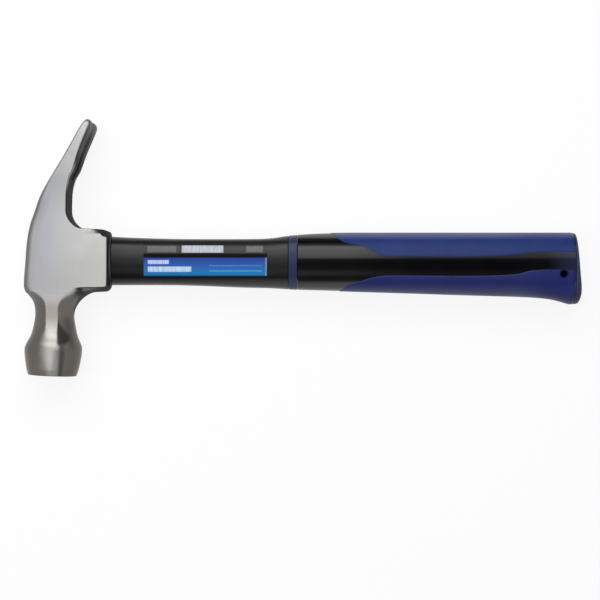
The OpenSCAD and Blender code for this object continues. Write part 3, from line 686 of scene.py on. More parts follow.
def panel(name, start, edges, side):
    """A panel on one side of the handle: 1 is the claw's side and -1 the other."""
    rows = [(start - 2.4, 0.999), (start - 2.2, 0.992), (start - 1.6, 0.978), (start - 0.8, 0.956)]
    for i in range(PANEL_ROWS + 1):
        t = 0.002 + 0.998 * (i / PANEL_ROWS)
        rows.append((mix(start, GRIP_END, t), smooth(edges, t)))
    rings = []
    for x, share in rows:
        edge = angle_at(x, share)
        reach = half_width(x) * (math.pi / 2 - edge)
        at_end = max(0, 1 - (GRIP_END - x) / EDGE_R, 1 - (x - rows[0][0]) / EDGE_R)
        dip = EDGE_R * (1 - math.sqrt(max(0, 1 - at_end ** 2)))
        cross = [(side * (edge + min(gap, reach * 0.9) / half_width(x)), up)
                 for gap, up in EDGE_ROLL]
        low, high = cross[-1][0], side * math.pi - cross[-1][0]
        flat = [(mix(low, high, i / PANEL_STEPS), 0) for i in range(1, PANEL_STEPS)]
        cross += flat + [(side * math.pi - a, up) for a, up in cross[::-1]]
        outer = [on_handle(x, a, PROUD + max(up - dip, SUNK - PROUD + 0.05)) for a, up in cross]
        rings.append(outer + [on_handle(x, a, SUNK) for a, up in cross[::-1]])
    thing = skin_through(name, rings)
    bake_modifiers(thing, math.radians(50))
    return thing


upper = panel("upper_soft_panel", RING_AT + RING_W + 21.8, UPPER_EDGE, 1)
lower = panel("lower_soft_panel", RING_AT + RING_W + 27.3, LOWER_EDGE, -1)

# %% [markdown]
# The hang hole goes through the lower panel and the grip. Both are cut with the same drill,
# which flares a little at the surface, as a moulded hole does.

# %% Drill the hang hole
HOLE_X, HOLE_Y, HOLE_R = GRIP_END - 7.4, -7.4, 2.0
DRILL_HALF, DRILL_FLARE = 16, 2.6        # half of its straight part, and how much it widens


def drill(name):
    shape = [(-DRILL_HALF - 2, HOLE_R + DRILL_FLARE), (-DRILL_HALF + 0.6, HOLE_R),
             (DRILL_HALF - 0.6, HOLE_R), (DRILL_HALF + 2, HOLE_R + DRILL_FLARE)]
    turns = [math.tau * i / 48 for i in range(48)]
    return skin_through(name, [[(HOLE_X + r * math.cos(a), HOLE_Y + r * math.sin(a), z)
                                for a in turns] for z, r in shape])


cut(lower, drill("drill_a"))
cut(grip, drill("drill_b"))
for thing, node, slot in ((upper, "upper_panel", "blue_rubber"),
                          (lower, "lower_panel", "navy_rubber")):
    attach(thing, "root")
    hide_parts(node)
    count_faces(thing)

# %% [markdown]
# ## Butt cap, resin and label
#
# The cap is a low dome that is higher at the bottom. The resin that holds the rod shows at the
# back of the head, a little below the steel, with a raised edge where it wetted the wall. The
# label is a thin film wrapped on the sleeve, with its own UV map for the bands.

# %% Make the cap
DOME = [(1, 0.0), (1, 0.2), (0.998, 0.42), (0.99, 0.6), (0.972, 0.73), (0.945, 0.82), (0.91, 0.88),
        (0.86, 0.93), (0.8, 0.96), (0.72, 0.985), (0.65, 1), (0.5, 1), (0.35, 1), (0.2, 1)]
CAP_SLOPE = [(0, 0), (0.25, 0.14), (0.55, 0.5), (0.8, 1), (0.9, 1), (1, 0.8)]
CAP_LOW, CAP_HIGH, CAP_GAP = 1.6, 4.2, 0.1


def cap_height(y):
    high, low = top_of(GRIP_END), bottom_of(GRIP_END)
    return mix(CAP_LOW, CAP_HIGH, smooth(CAP_SLOPE, (high - y) / (high + low)))


cap_rings = []
middle = (top_of(GRIP_END) - bottom_of(GRIP_END)) / 2
for size, height in DOME:
    ring_points = []
    for i in range(96):
        _, y, z = on_handle(GRIP_END, math.tau * i / 96, -CAP_GAP)
        y = mix(middle, y, size)
        up = (cap_height(y) - CAP_GAP) * height
        ring_points.append((GRIP_END + CAP_GAP + up, y, z * size))
    cap_rings.append(ring_points)
cap = skin_through("butt_end_cap", cap_rings)
bake_modifiers(cap)
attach(cap, "root")
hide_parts("butt_cap")
count_faces(cap)

# %% Pour the resin
DROP, SMALLER = 3.2, -0.03               # below the steel, and clear of the eye's wall
resin_rings = [eye_ring(x, SMALLER) for x in (MOUTH, 20, 10, 0, -10, -15)]
for size, height in ((1, 0.5), (0.985, 0.15), (0.95, 0.0), (0.85, -0.12), (0.7, -0.16)):
    resin_rings.append([(-BACK + DROP - height, y * size, z * size)
                        for _, y, z in eye_ring(-BACK + DROP, SMALLER)])
resin = skin_through("eye_resin", resin_rings)
bake_modifiers(resin)
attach(resin, "root")
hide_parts("eye_epoxy")
count_faces(resin)

# %% Wrap the label
LABEL_AT, LABEL_LEN, LABEL_HIGH, LABEL_LOW = 52.9, 73.4, 11, 9.2
FILM, LIP = 0.22, 0.02                   # how far the film and its rim stand off the sleeve
label_rows, label_cols = 60, 24
shape = bmesh.new()
grid_points, heights = [], {}
for i in range(label_rows + 1):
    x = LABEL_AT + LABEL_LEN * i / label_rows
    deep, offset = (top_of(x) + bottom_of(x)) / 2, (top_of(x) - bottom_of(x)) / 2
    ends = []
    for y in (-LABEL_LOW, LABEL_HIGH):
        part = (y - offset) / deep
        ends.append(math.copysign(angle_at(x, abs(part)), part))
    line = []
    for j in range(label_cols + 1):
        at_rim = i in (0, label_rows) or j in (0, label_cols)
        p = on_handle(x, mix(*ends, j / label_cols), LIP if at_rim else FILM)
        line.append(shape.verts.new(place(*p)))
        heights[line[-1]] = (p[1] + LABEL_LOW) / (LABEL_HIGH + LABEL_LOW)
    grid_points.append(line)

# %% Map and close the label
uv = shape.loops.layers.uv.new("UVMap")
for i in range(label_rows):
    for j in range(label_cols):
        face = shape.faces.new((grid_points[i][j], grid_points[i + 1][j],
                                grid_points[i + 1][j + 1], grid_points[i][j + 1]))
        for loop, a in zip(face.loops, (i, i + 1, i + 1, i)):
            loop[uv].uv = (a / label_rows, heights[loop.vert])
edge_loop = ([line[0] for line in grid_points] + grid_points[-1][1:]
             + [line[-1] for line in grid_points[::-1]][1:] + grid_points[0][1:-1][::-1])
shape.faces.new(edge_loop)
bmesh.ops.recalc_face_normals(shape, faces=shape.faces)
film_mesh = bpy.data.meshes.new("label_film")
shape.to_mesh(film_mesh)
shape.free()
film = new_object("label_film", film_mesh)
bake_modifiers(film, math.radians(60))
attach(film, "root")
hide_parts("label")
count_faces(film)

# %% [markdown]
# ## Finishes
#
# Two effects come back in several finishes, so each is a node group: a fine moulded grain, and
# scuffs, which are short light scratches. The groups put out values only, and the shader stays
# in each material.

# %% Node groups for grain and scuffs
def group(name, inputs, outputs):
    tree = bpy.data.node_groups.new(name, "ShaderNodeTree")
    for label, value in inputs:
        tree.interface.new_socket(name=label, in_out="INPUT",
                                  socket_type="NodeSocketFloat").default_value = value
    for label in outputs:
        tree.interface.new_socket(name=label, in_out="OUTPUT", socket_type="NodeSocketFloat")
    return tree, tree.nodes.new("NodeGroupInput").outputs, tree.nodes.new("NodeGroupOutput").inputs


def noise(tree, scale, detail, stretch=(1, 1, 1), rough=0.5):
    spot = tree.nodes.new("ShaderNodeTexCoord")
    turn = tree.nodes.new("ShaderNodeMapping")
    turn.inputs["Scale"].default_value = stretch
    cloud = tree.nodes.new("ShaderNodeTexNoise")
    cloud.inputs["Detail"].default_value = detail
    cloud.inputs["Roughness"].default_value = rough
    tree.links.new(spot.outputs["Object"], turn.inputs["Vector"])
    tree.links.new(turn.outputs[0], cloud.inputs["Vector"])
    if isinstance(scale, (int, float)):
        cloud.inputs["Scale"].default_value = scale
    else:
        tree.links.new(scale, cloud.inputs["Scale"])
    return cloud.outputs[0]


def ramp(tree, value, low, high, to_low=0.0, to_high=1.0):
    """Turns the stretch from low to high into one from to_low to to_high."""
    node = tree.nodes.new("ShaderNodeMapRange")
    for i, number in enumerate((low, high, to_low, to_high), 1):
        node.inputs[i].default_value = number
    tree.links.new(value, node.inputs[0])
    return node.outputs[0]


grain, given, out = group("Moulded grain", (("Size", 900.0), ("Cloud", 40.0)),
                          ("Height", "Patches"))
grain.links.new(noise(grain, given["Size"], 3), out["Height"])
grain.links.new(ramp(grain, noise(grain, given["Cloud"], 4), 0.3, 0.7), out["Patches"])

scuffs, given, out = group("Scuffs", (("Size", 260.0), ("Amount", 0.5)), ("Mask",))
thin = noise(scuffs, given["Size"], 6, (0.12, 1, 1), 0.7)
other = noise(scuffs, given["Size"], 6, (1, 0.1, 1), 0.7)
where = noise(scuffs, 30.0, 2)
lines = calc(scuffs, "MAXIMUM", ramp(scuffs, thin, 0.66, 0.78), ramp(scuffs, other, 0.68, 0.8))
worn = ramp(scuffs, calc(scuffs, "MULTIPLY", where, given["Amount"]), 0.18, 0.4)
scuffs.links.new(calc(scuffs, "MULTIPLY", lines, worn), out["Mask"])
print("groups:", [tree.name for tree in (grain, scuffs)])


# %% [markdown]
# A finish is a Principled shader with its colour, roughness and bump built from these groups.
# `finish` makes the shader and sets the values that are the same all over on its own sockets.

# %% Helpers for a finish
def colour(red, green, blue):
    """An 8-bit colour, 0 to 255 a channel, as the linear values that a shader takes."""
    def linear(value):
        value /= 255
        return value / 12.92 if value <= 0.04045 else ((value + 0.055) / 1.055) ** 2.4
    return (linear(red), linear(green), linear(blue), 1.0)


def finish(name, **values):
    material = bpy.data.materials.new(name)
    material.use_nodes = True
    tree = material.node_tree
    shader = tree.nodes["Principled BSDF"]
    for label, value in values.items():
        shader.inputs[label.replace("_", " ")].default_value = value
    return material, tree, shader


def use(tree, which, **values):
    node = tree.nodes.new("ShaderNodeGroup")
    node.node_tree = which
    for label, value in values.items():
        node.inputs[label].default_value = value
    return node.outputs


def blend_colours(tree, share, first, second):
    node = tree.nodes.new("ShaderNodeMix")
    node.data_type = "RGBA"
    for socket, value in zip((node.inputs[0], node.inputs[6], node.inputs[7]),
                             (share, first, second)):
        if isinstance(value, tuple):
            socket.default_value = value
        else:
            tree.links.new(value, socket)
    return node.outputs[2]


def place_of(tree):
    """The X, Y and Z of the point that is drawn, in metres."""
    spot = tree.nodes.new("ShaderNodeTexCoord")
    split = tree.nodes.new("ShaderNodeSeparateXYZ")
    tree.links.new(spot.outputs["Object"], split.inputs[0])
    return split.outputs


def bump(tree, shader, height, strength, distance):
    node = tree.nodes.new("ShaderNodeBump")
    node.inputs["Strength"].default_value = strength
    node.inputs["Distance"].default_value = distance
    tree.links.new(height, node.inputs["Height"])
    tree.links.new(node.outputs[0], shader.inputs["Normal"])


def wear(thing, material):
    thing.data.materials.clear()
    thing.data.materials.append(material)


# %% [markdown]
# ## Steel
#
# The cheeks and the striking face are ground bright, and the inner side of the claw, the slot's
# walls, the ends of the eye boss and the hollow under it are black from the forge. Light and shade
# are painted in on top: painted highlights on the neck's top flat and in a band on the bell,
# painted shade as a mid grey on the poll's sides and along the back, painted shade under the boss
# and in its corner beside the sleeve, and painted dark reflections on the claw's inner side,
# beside the bell's band and in the hollow between neck and bell. Which is which depends on where a
# point lies and how its face looks. So each point stores a number: 0 is black, 0.5 is the mid grey
# of painted shade and 1 is bright. The numbers in the two functions are millimetres from the
# crossing and, for a direction, shares from 0 to 1.

# %% How bright the poll is
def poll_finish_and_painted_light(down, here, normal):
    """Bright on top as a painted highlight, painted shade on the sides, painted dark reflections
    in the hollow to the bell, and a ground striking face.
    """
    flat = abs(normal.z)
    across = max(math.hypot(normal.x, normal.z), 0.001)
    side = normal.x / across
    on_bell = soft_step(down, 48, 51)
    # Painted highlights: the neck's top flat, and on the bell a band beside the top
    on_top = soft_step(mix(flat, flat / across, soft_step(down, 36, 40)), 0.9, 0.97)
    painted_highlight_band = window(side, -0.2, 0.04, 0.3, 0.38)
    # Painted shade dims the neck's waist and the bell's shoulder
    waist, shoulder = window(down, 19, 27, 32, 42), on_bell * (1 - soft_step(down, 51, 60))
    share = mix(0.5, 1 - 0.45 * waist - 0.22 * shoulder, mix(on_top, painted_highlight_band, on_bell))
    # Painted shade on the side towards the handle, and a painted dark reflection as a line beside
    # the band
    beside = 0.7 * soft_step(normal.x, 0.3, 0.6)
    share = mix(share, mix(0.62, 0.4, soft_step(down, 32, 38)), beside)
    share -= 0.3 * on_bell * window(side, 0.3, 0.38, 0.46, 0.56)
    # The chamfer and the striking face
    share = mix(share, 0.42, soft_step(-normal.y, 0.3, 0.5) * on_bell)
    share = mix(share, 0.95, soft_step(-normal.y, 0.9, 0.98) * on_bell)
    # A painted dark reflection in the hollow between neck and bell, which widens on its way down
    spread = 0.28 + 0.4 * soft_step(down, 27, 48)
    low_end = 51.5 - 4 * soft_step(normal.x, 0.4, 0.8)
    hollow = window(down, 25, 38, low_end - 3.5, low_end)
    share *= 1 - 0.95 * hollow * window(normal.x, 0.2, 0.3, spread - 0.05, spread + 0.2)
    # Painted shade on the fillet under the boss
    fillet = soft_step(normal.x, 0, 0.2) * (1 - soft_step(down, 27, 37))
    share *= mix(1, soft_step(flat, 0.2, 0.5), fillet)
    # Painted shade in a band under the boss, past the cheek's edge
    if down < 36:
        edge = cheek_edges(max(here.y, -30))[1]
        past_cheek = soft_step(here.x - edge, -0.2, 0.8) * soft_step(here.x, 9, 15)
        share *= 1 - (0.75 if here.x > 17 else 1) * past_cheek * (1 - soft_step(down, 17, 24))
    return share


# %% How bright the whole head is
CHEEK_END, POLL_FULL = 14.4, 19          # below the crossing: where the cheek becomes the poll


def finish_and_painted_light_share(here, normal):
    """0 is black from the forge and painted dark reflection, 0.5 is painted shade, 1 is ground
    bright and painted highlight.
    """
    flat, on_flat = abs(normal.z), soft_step(abs(normal.z), 0.7, 0.97)
    if here.y < -CHEEK_END:
        at_poll = poll_finish_and_painted_light(-here.y, here, normal)
        if here.y > -POLL_FULL and here.x < 9:
            return mix(mix(0.45, 1, on_flat), at_poll, soft_step(-here.y, 15, POLL_FULL))
        return at_poll
    # Painted shade on the round of the back, which turns bright where it is flat
    if normal.x < -0.25 and here.x < back_x(min(here.y, CLAW)) + 5:
        return mix(mix(0.45, 1, soft_step(here.y, 32, 50)), 1, on_flat)
    # The claw's inner side is forge black and a painted dark reflection, but for its root and its
    # tips
    from_cheek = half_thickness(min(here.y, CLAW)) - abs(here.z)
    root = window(here.y, 40, 48, 50, 62)
    tip = 0.14 * soft_step(here.y, 58, 68) + 0.2 * soft_step(here.y, 72, 82)
    if here.y > 44 and from_cheek > 2.6 + 2 * root:
        return tip
    # Painted shade blackens the boss's corner beside the sleeve
    corner = soft_step(here.x, 21, 26) * soft_step(here.y, 16.2, 16.9) if here.y < 24 else 0
    from_back = here.x - back_x(here.y) if here.y < CLAW else 9
    # Painted shade darkens a strip along the back edge, down to the claw's root
    painted_mid_shade = (1 - soft_step(from_back, 5.4, 8.2)) * (1 - soft_step(here.y, 30, 44))
    share = max(tip, soft_step(flat, 0.72, 0.95), root * (1 - soft_step(from_cheek, 1.5, 4.6)))
    return share * (1 - corner) * mix(1, 0.64, painted_mid_shade)


# %% Mark the finish and the painted light and shade on each point
mesh = head.data
marks = mesh.attributes.new("finish_and_painted_light", "FLOAT", "POINT")
for point, mark in zip(mesh.vertices, marks.data):
    mark.value = finish_and_painted_light_share((point.co - CROSSING) * PER_METRE, point.normal)
print("ground share", round(sum(m.value for m in marks.data) / len(marks.data), 2))

# %% [markdown]
# The material blends three steels by that number: black, a mid grey that is painted shade, and
# bright steel. On top of it come clouds, fine lines and scratches. The bright steel is painted
# bluish and darker at the back of the head and lighter and warmer towards the handle, a painted
# reflection, and it is painted darker towards the poll as painted shade; the poll itself is a
# little warmer. Painted shade also blackens the corner of the boss beside the sleeve.

# %% Steel colours
TO_POLL = (-0.024, -0.034)               # across this stretch of Y the cheeks become the poll
steel, tree, shader = finish("Forged steel")
mark = tree.nodes.new("ShaderNodeAttribute")
mark.attribute_name = "finish_and_painted_light"
at = place_of(tree)
# Painted shade: the boss's corner beside the sleeve turns black
past = [calc(tree, "MAXIMUM", calc(tree, "SUBTRACT", at[k], CROSSING[k] + start), 0)
        for k, start in ((0, 0.026), (1, 0.0135))]
corner = ramp(tree, calc(tree, "MULTIPLY", *past), 3.6e-6, 5.0e-6, 1, 0)
finish_and_painted_light = calc(tree, "MULTIPLY", mark.outputs["Fac"], corner)
lines = noise(tree, 900, 4, (1, 0.06, 1), 0.6)
clouds = noise(tree, 45, 3)
scratch = use(tree, scuffs, Size=300.0, Amount=0.8)["Mask"]
at_poll, out_of_black = ramp(tree, at["Y"], *TO_POLL), ramp(tree, finish_and_painted_light, 0, 0.45)
# Painted reflection: bluish and darker at the back of the head, lighter and warmer towards the
# handle
bright = blend_colours(tree, ramp(tree, at["X"], -0.155, -0.12),
                       colour(113, 114, 121), colour(141, 142, 136))
poll = blend_colours(tree, clouds, colour(114, 112, 109), colour(128, 126, 122))
for share, tint in ((ramp(tree, clouds, 0.4, 0.7, 0, 0.45), colour(116, 114, 113)),
                    # Painted shade: darker towards the poll
                    (ramp(tree, at["Y"], -0.002, -0.02, 0, 0.5), colour(112, 112, 110)),
                    (at_poll, poll),
                    (ramp(tree, lines, 0.3, 0.7, 0, 0.2), colour(150, 150, 150)),
                    (calc(tree, "MULTIPLY", scratch, 0.3), colour(180, 180, 180))):
    bright = blend_colours(tree, share, bright, tint)
black = blend_colours(tree, ramp(tree, clouds, 0.3, 0.7), colour(30, 28, 28), colour(44, 41, 40))
# Mid greys of painted shade, on the cheeks' side and on the poll's sides
painted_mid_shade = blend_colours(tree, clouds, colour(104, 103, 104), colour(118, 117, 118))
side = blend_colours(tree, clouds, colour(90, 87, 84), colour(104, 100, 95))
whole = blend_colours(tree, out_of_black, black, blend_colours(tree, at_poll, painted_mid_shade, side))
whole = blend_colours(tree, ramp(tree, finish_and_painted_light, 0.5, 1), whole, bright)

# %% Steel material
tree.links.new(whole, shader.inputs["Base Color"])
tree.links.new(out_of_black, shader.inputs["Metallic"])
gloss = calc(tree, "ADD", ramp(tree, at["Y"], *TO_POLL, 0.5, 0.32),
             ramp(tree, lines, 0.2, 0.8, -0.05, 0.06))
gloss = calc(tree, "ADD", gloss, ramp(tree, finish_and_painted_light, 0, 0.5, 0.3, 0))
tree.links.new(gloss, shader.inputs["Roughness"])
tree.links.new(ramp(tree, finish_and_painted_light, 0, 0.45, 0.15, 0.5), shader.inputs["Specular IOR Level"])
bump(tree, shader, lines, 0.12, 0.0002)
wear(head, steel)

# %% [markdown]
# ## Plastics and rubbers
#
# The sleeve is a glossy moulded skin, the grip under the panels is finer and duller, and the
# panels are soft and satin. Each gets a grain of its own size and patches that change the gloss.
# The light lies in streaks along the handle, so the shine of most of them is a table of stops
# across it, which fades along it: painted highlights where the streaks and rims are bright, and
# painted shade between them. Inside the hang hole nothing shines, as painted shade.

# %% Shine across the handle
REACH = 30                               # the stops lie up to this far from the axis, in mm


def across_handle(tree, stops):
    """A value read from how many millimetres a point lies to the claw's side of the axis."""
    node = tree.nodes.new("ShaderNodeValToRGB")
    line = node.color_ramp.elements
    while len(line) > 1:
        line.remove(line[-1])
    for i, (depth, value) in enumerate(stops):
        spot = line.new(depth / (2 * REACH) + 0.5) if i else line[0]
        spot.position, spot.color = depth / (2 * REACH) + 0.5, (value,) * 3 + (1,)
    tree.links.new(ramp(tree, place_of(tree)["Y"], CROSSING.y - REACH / PER_METRE,
                        CROSSING.y + REACH / PER_METRE), node.inputs[0])
    return node.outputs[0]


def clear_of_hole(tree):
    """0 inside the hang hole, as painted shade, and 1 away from it."""
    at, hole = place_of(tree), place(HOLE_X, HOLE_Y, 0)
    squares = [calc(tree, "POWER", calc(tree, "SUBTRACT", at[k], hole[k]), 2.0) for k in (0, 1)]
    return ramp(tree, calc(tree, "SQRT", calc(tree, "ADD", *squares)), 0.0022, 0.003)


# %% Moulded finishes
def moulded(name, dark, light, rough, size, depth, specular, worn, fade=None, end_tint=None):
    """A moulded skin. `rough` goes from plain to patchy, `size` and `depth` are the grain's,
    `specular` is a number or stops, `fade` is two places in X and the share left past them."""
    material, tree, shader = finish(name)
    at, dark, light = place_of(tree), colour(*dark), colour(*light)
    if isinstance(specular, float):
        shader.inputs["Specular IOR Level"].default_value = specular
    else:
        shine = calc(tree, "MULTIPLY", across_handle(tree, specular), clear_of_hole(tree))
        if fade:
            near, far, left = fade
            shine = calc(tree, "MULTIPLY", shine, ramp(tree, at["X"], near, far, 1, left))
        tree.links.new(shine, shader.inputs["Specular IOR Level"])
    parts = use(tree, grain, Size=size, Cloud=60.0)
    mask = use(tree, scuffs, Size=220.0, Amount=worn)["Mask"]
    pale = tuple(min(1, v * 1.6 + 0.02) for v in light[:3]) + (1.0,)
    base = blend_colours(tree, parts["Patches"], dark, light)
    base = blend_colours(tree, calc(tree, "MULTIPLY", mask, 0.35), base, pale)
    if end_tint:
        base = blend_colours(tree, ramp(tree, at["X"], 0.145, 0.159), base, colour(*end_tint))
    tree.links.new(base, shader.inputs["Base Color"])
    gloss = calc(tree, "ADD", ramp(tree, parts["Patches"], 0, 1, *rough),
                 calc(tree, "MULTIPLY", mask, 0.15))
    tree.links.new(gloss, shader.inputs["Roughness"])
    bump(tree, shader, parts["Height"], depth, 0.0002)
    return material


# %% Use the moulded finishes
# Specular stops of painted highlight and painted shade: millimetres to the claw's side of the
# axis, and the level
RING_SHINE = [(-13, 0.4), (-10.5, 0.12), (-8, 0.03), (-2, 0.04), (1, 0.09), (4, 0.12), (6.5, 0.2),
              (10, 0.2), (12, 0.08), (13.6, 0.2), (15, 0.7)]
SLEEVE_SHINE = [(-13, 0.6), (-11.2, 0.35), (-9.5, 0.05), (-6, 0.07), (-2.4, 0.06), (1.2, 0.12),
                (3, 0.17), (5.6, 0.25), (8.3, 0.25), (10.1, 0.26), (11.2, 0.14), (11.9, 0.1),
                (13.4, 0.55)]
GRIP_SHINE = [(-13.2, 0.7), (-11.2, 0.1), (-9.5, 0.04), (-7.7, 0.1), (-4.1, 0.02), (-0.6, 0.01),
              (1.2, 0.03), (2.6, 0.25), (4.7, 0.33), (6.5, 0.33), (8.3, 0.34), (10.1, 0.05),
              (11.8, 0.01), (13.6, 0.12), (14.8, 1)]
UPPER_SHINE = [(3, 0.14), (8, 0.12), (13, 0.06), (14.6, 0.6), (16, 1)]
LOWER_SHINE = [(-19, 0.5), (-16.5, 0.45), (-13, 0.18)]
wear(sleeve, moulded("Sleeve black", (9, 9, 11), (15, 15, 18), (0.24, 0.32), 700.0, 0.05,
                     SLEEVE_SHINE, 0.6, (-0.103, -0.116, 0.72)))
wear(grip, moulded("Grip black", (6, 6, 8), (11, 11, 13), (0.26, 0.34), 1600.0, 0.25,
                   GRIP_SHINE, 0.5, (0.028, 0.07, 0.4), (34, 38, 58)))
wear(seal, moulded("Seal rubber", (34, 34, 35), (48, 48, 50), (0.6, 0.7), 1200.0, 0.2, 0.3, 0.2))
wear(upper, moulded("Upper blue", (31, 46, 99), (39, 54, 108), (0.42, 0.52), 1500.0, 0.25,
                    UPPER_SHINE, 0.6, (0.115, 0.14, 0.6)))
# The lower panel is the same blue rubber painted darker, as painted shade
wear(lower, moulded("Lower blue painted shade", (22, 30, 88), (32, 38, 98), (0.42, 0.52), 1500.0, 0.25,
                    LOWER_SHINE, 0.6, (0.13, 0.145, 0.5)))
wear(cap, moulded("Cap grey", (32, 37, 58), (40, 45, 67), (0.45, 0.55), 1000.0, 0.2, 0.3, 0.4))
wear(ring, moulded("Accent blue", (38, 45, 72), (45, 53, 82), (0.4, 0.48), 1000.0, 0.1,
                   RING_SHINE, 0.3))
wear(resin, moulded("Resin amber", (92, 66, 34), (128, 94, 52), (0.2, 0.34), 300.0, 0.3, 0.5,
                    0.0))

# %% [markdown]
# ## The rod and the label
#
# The rod's end shows bundles of glass fibre in resin, so its colour breaks into fine strands.
# The label's bands run along the film, so they are drawn from its UV map: a dark row on top, a
# blue band that gets lighter downwards, and plain pale bars and lines. The bars break into
# upright strokes of uneven strength.

# %% Rod finish
rod, tree, shader = finish("Glass fibre", Roughness=0.5)
strands = noise(tree, 2600, 2, (0.04, 1, 1))
parts = use(tree, grain, Size=2000.0, Cloud=120.0)
tree.links.new(blend_colours(tree, ramp(tree, strands, 0.35, 0.65), colour(176, 160, 112),
                             colour(214, 202, 160)), shader.inputs["Base Color"])
bump(tree, shader, parts["Height"], 0.2, 0.0002)
wear(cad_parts["fibreglass_core"], rod)

# %% Helpers for the label
print_film, tree, shader = finish("Printed film", Roughness=0.3)
# Painted highlights and painted shade in the film's specular level, in stops across the handle
tree.links.new(across_handle(tree, [(-9, 0.12), (1.6, 0.14), (2.4, 0.02), (4.4, 0.02), (5.4, 0.24),
                                    (9.8, 0.24), (10.8, 0.1)]),
               shader.inputs["Specular IOR Level"])
map_here = tree.nodes.new("ShaderNodeUVMap")
map_here.uv_map = "UVMap"
parts_uv = tree.nodes.new("ShaderNodeSeparateXYZ")
tree.links.new(map_here.outputs[0], parts_uv.inputs[0])
u, v = parts_uv.outputs["X"], parts_uv.outputs["Y"]


def band(value, low, high, soft=0.004):
    """1 between low and high, 0 outside."""
    rise = ramp(tree, value, low - soft, low + soft)
    fall = ramp(tree, value, high - soft, high + soft)
    return calc(tree, "SUBTRACT", rise, fall)


def box_of(u_low, u_high, v_low, v_high):
    return calc(tree, "MULTIPLY", band(u, u_low, u_high), band(v, v_low, v_high, 0.012))


# %% Label finish
blue = blend_colours(tree, ramp(tree, v, 0.1, 0.5), colour(14, 114, 180), colour(18, 58, 146))
parts = use(tree, grain, Size=900.0, Cloud=90.0)
dark = blend_colours(tree, parts["Patches"], colour(11, 11, 13), colour(18, 18, 21))
stretch = tree.nodes.new("ShaderNodeMapping")
stretch.inputs["Scale"].default_value = (130, 1.2, 1)
blots = tree.nodes.new("ShaderNodeTexNoise")
blots.inputs["Scale"].default_value = 1.0
blots.inputs["Detail"].default_value = 2.0
tree.links.new(map_here.outputs[0], stretch.inputs["Vector"])
tree.links.new(stretch.outputs[0], blots.inputs["Vector"])
strokes = ramp(tree, blots.outputs[0], 0.36, 0.6, 0.65, 1)
whole = blend_colours(tree, box_of(0.0, 0.985, 0.042, 0.573), dark, blue)
# Each bar: its left, right, bottom and top on the film, its strength and its colour
for *edges, share, tint in (
        (0.53, 0.96, 0.32, 0.35, 0.5, (110, 146, 226)),
        (0.53, 0.96, 0.165, 0.2, 0.55, (110, 180, 230)),
        (0.035, 0.205, 0.385, 0.5, 0.9, (205, 215, 248)),
        (0.035, 0.385, 0.155, 0.31, 0.9, (205, 226, 244)),
        (0.03, 0.265, 0.73, 0.92, 0.5, (120, 122, 122)),
        (0.31, 0.645, 0.72, 0.93, 0.85, (205, 208, 216)),
        (0.83, 0.965, 0.73, 0.92, 0.5, (130, 130, 128))):
    bar = calc(tree, "MULTIPLY", calc(tree, "MULTIPLY", box_of(*edges), strokes), share)
    whole = blend_colours(tree, bar, whole, colour(*tint))
rim = calc(tree, "MULTIPLY", box_of(0.985, 0.996, 0.042, 0.573), 0.7)
whole = blend_colours(tree, rim, whole, colour(150, 176, 200))
tree.links.new(whole, shader.inputs["Base Color"])
bump(tree, shader, parts["Height"], 0.05, 0.0001)
wear(film, print_film)

# %% [markdown]
# ## Studio
#
# A pale floor, three long soft lamps overhead, which draw the streaks of light on the handle, and
# a world that looks white to the camera and in reflections but lights more gently. The floor is
# white to the same rays and keeps part of its own shading, so the hammer's shadow stays on it.

# %% Floor and world
def seen_rays(tree):
    rays = tree.nodes.new("ShaderNodeLightPath").outputs
    return calc(tree, "MAXIMUM", rays["Is Camera Ray"],
                calc(tree, "MAXIMUM", rays["Is Glossy Ray"], rays["Is Transmission Ray"]))


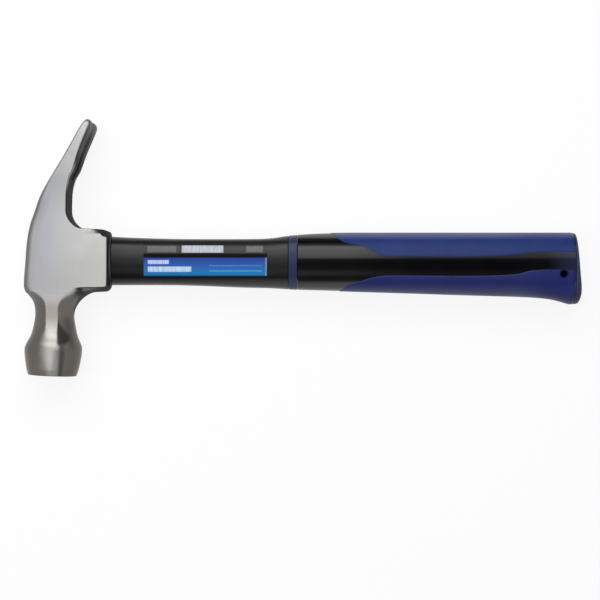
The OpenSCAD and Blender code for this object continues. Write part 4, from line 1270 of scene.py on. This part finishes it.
floor_mesh = bpy.data.meshes.new("studio_floor")
floor_mesh.from_pydata([(-3, -3, 0), (3, -3, 0), (3, 3, 0), (-3, 3, 0)], [], [(0, 1, 2, 3)])
floor = new_object("studio_floor", floor_mesh)
pale, tree, shader = finish("Studio floor", Roughness=0.9)
shader.inputs["Base Color"].default_value = (0.94, 0.94, 0.94, 1)
shader.inputs["Specular IOR Level"].default_value = 0.0
glow = tree.nodes.new("ShaderNodeEmission")
both = tree.nodes.new("ShaderNodeMixShader")
tree.links.new(calc(tree, "MULTIPLY", seen_rays(tree), 0.88), both.inputs[0])
tree.links.new(shader.outputs[0], both.inputs[1])
tree.links.new(glow.outputs[0], both.inputs[2])
tree.links.new(both.outputs[0], tree.nodes["Material Output"].inputs["Surface"])
wear(floor, pale)

world = bpy.data.worlds.new("Studio")
bpy.context.scene.world = world
world.use_nodes = True
tree = world.node_tree
tree.nodes["Background"].inputs["Strength"].default_value = 0.08
tree.nodes["Background"].inputs["Color"].default_value = (1, 1, 1, 1)
white = tree.nodes.new("ShaderNodeBackground")
white.inputs["Color"].default_value = (1, 1, 1, 1)
both = tree.nodes.new("ShaderNodeMixShader")
tree.links.new(seen_rays(tree), both.inputs[0])
tree.links.new(tree.nodes["Background"].outputs[0], both.inputs[1])
tree.links.new(white.outputs[0], both.inputs[2])
tree.links.new(both.outputs[0], tree.nodes["World Output"].inputs["Surface"])

# %% Lamps and camera
def soft_lamp(name, where, length, wide, radiance):
    """A long soft lamp that runs along the hammer and looks at it."""
    lamp = bpy.data.lights.new(name, "AREA")
    lamp.shape, lamp.size, lamp.size_y = "RECTANGLE", length, wide
    lamp.energy = radiance * math.pi * length * wide
    holder = bpy.data.objects.new(name, lamp)
    bpy.context.scene.collection.objects.link(holder)
    holder.location = where
    holder.rotation_euler = (math.atan2(-where[1], where[2]), 0, 0)


soft_lamp("claw_side", (-0.15, 0.93, 1.1), 1.7, 0.6, 3.8)
soft_lamp("middle", (-0.35, 0.34, 1.25), 1.6, 0.62, 2.3)
soft_lamp("over_head", (-0.55, -0.28, 1.25), 1.2, 0.62, 2.5)

lens = bpy.data.cameras.new("above")
lens.lens, lens.sensor_width, lens.clip_start = 95, 36, 0.01
camera = bpy.data.objects.new("above", lens)
bpy.context.scene.collection.objects.link(camera)
camera.location = place(145.8, -22.8, 950)
bpy.context.scene.camera = camera
bpy.context.scene.view_settings.view_transform = "Standard"
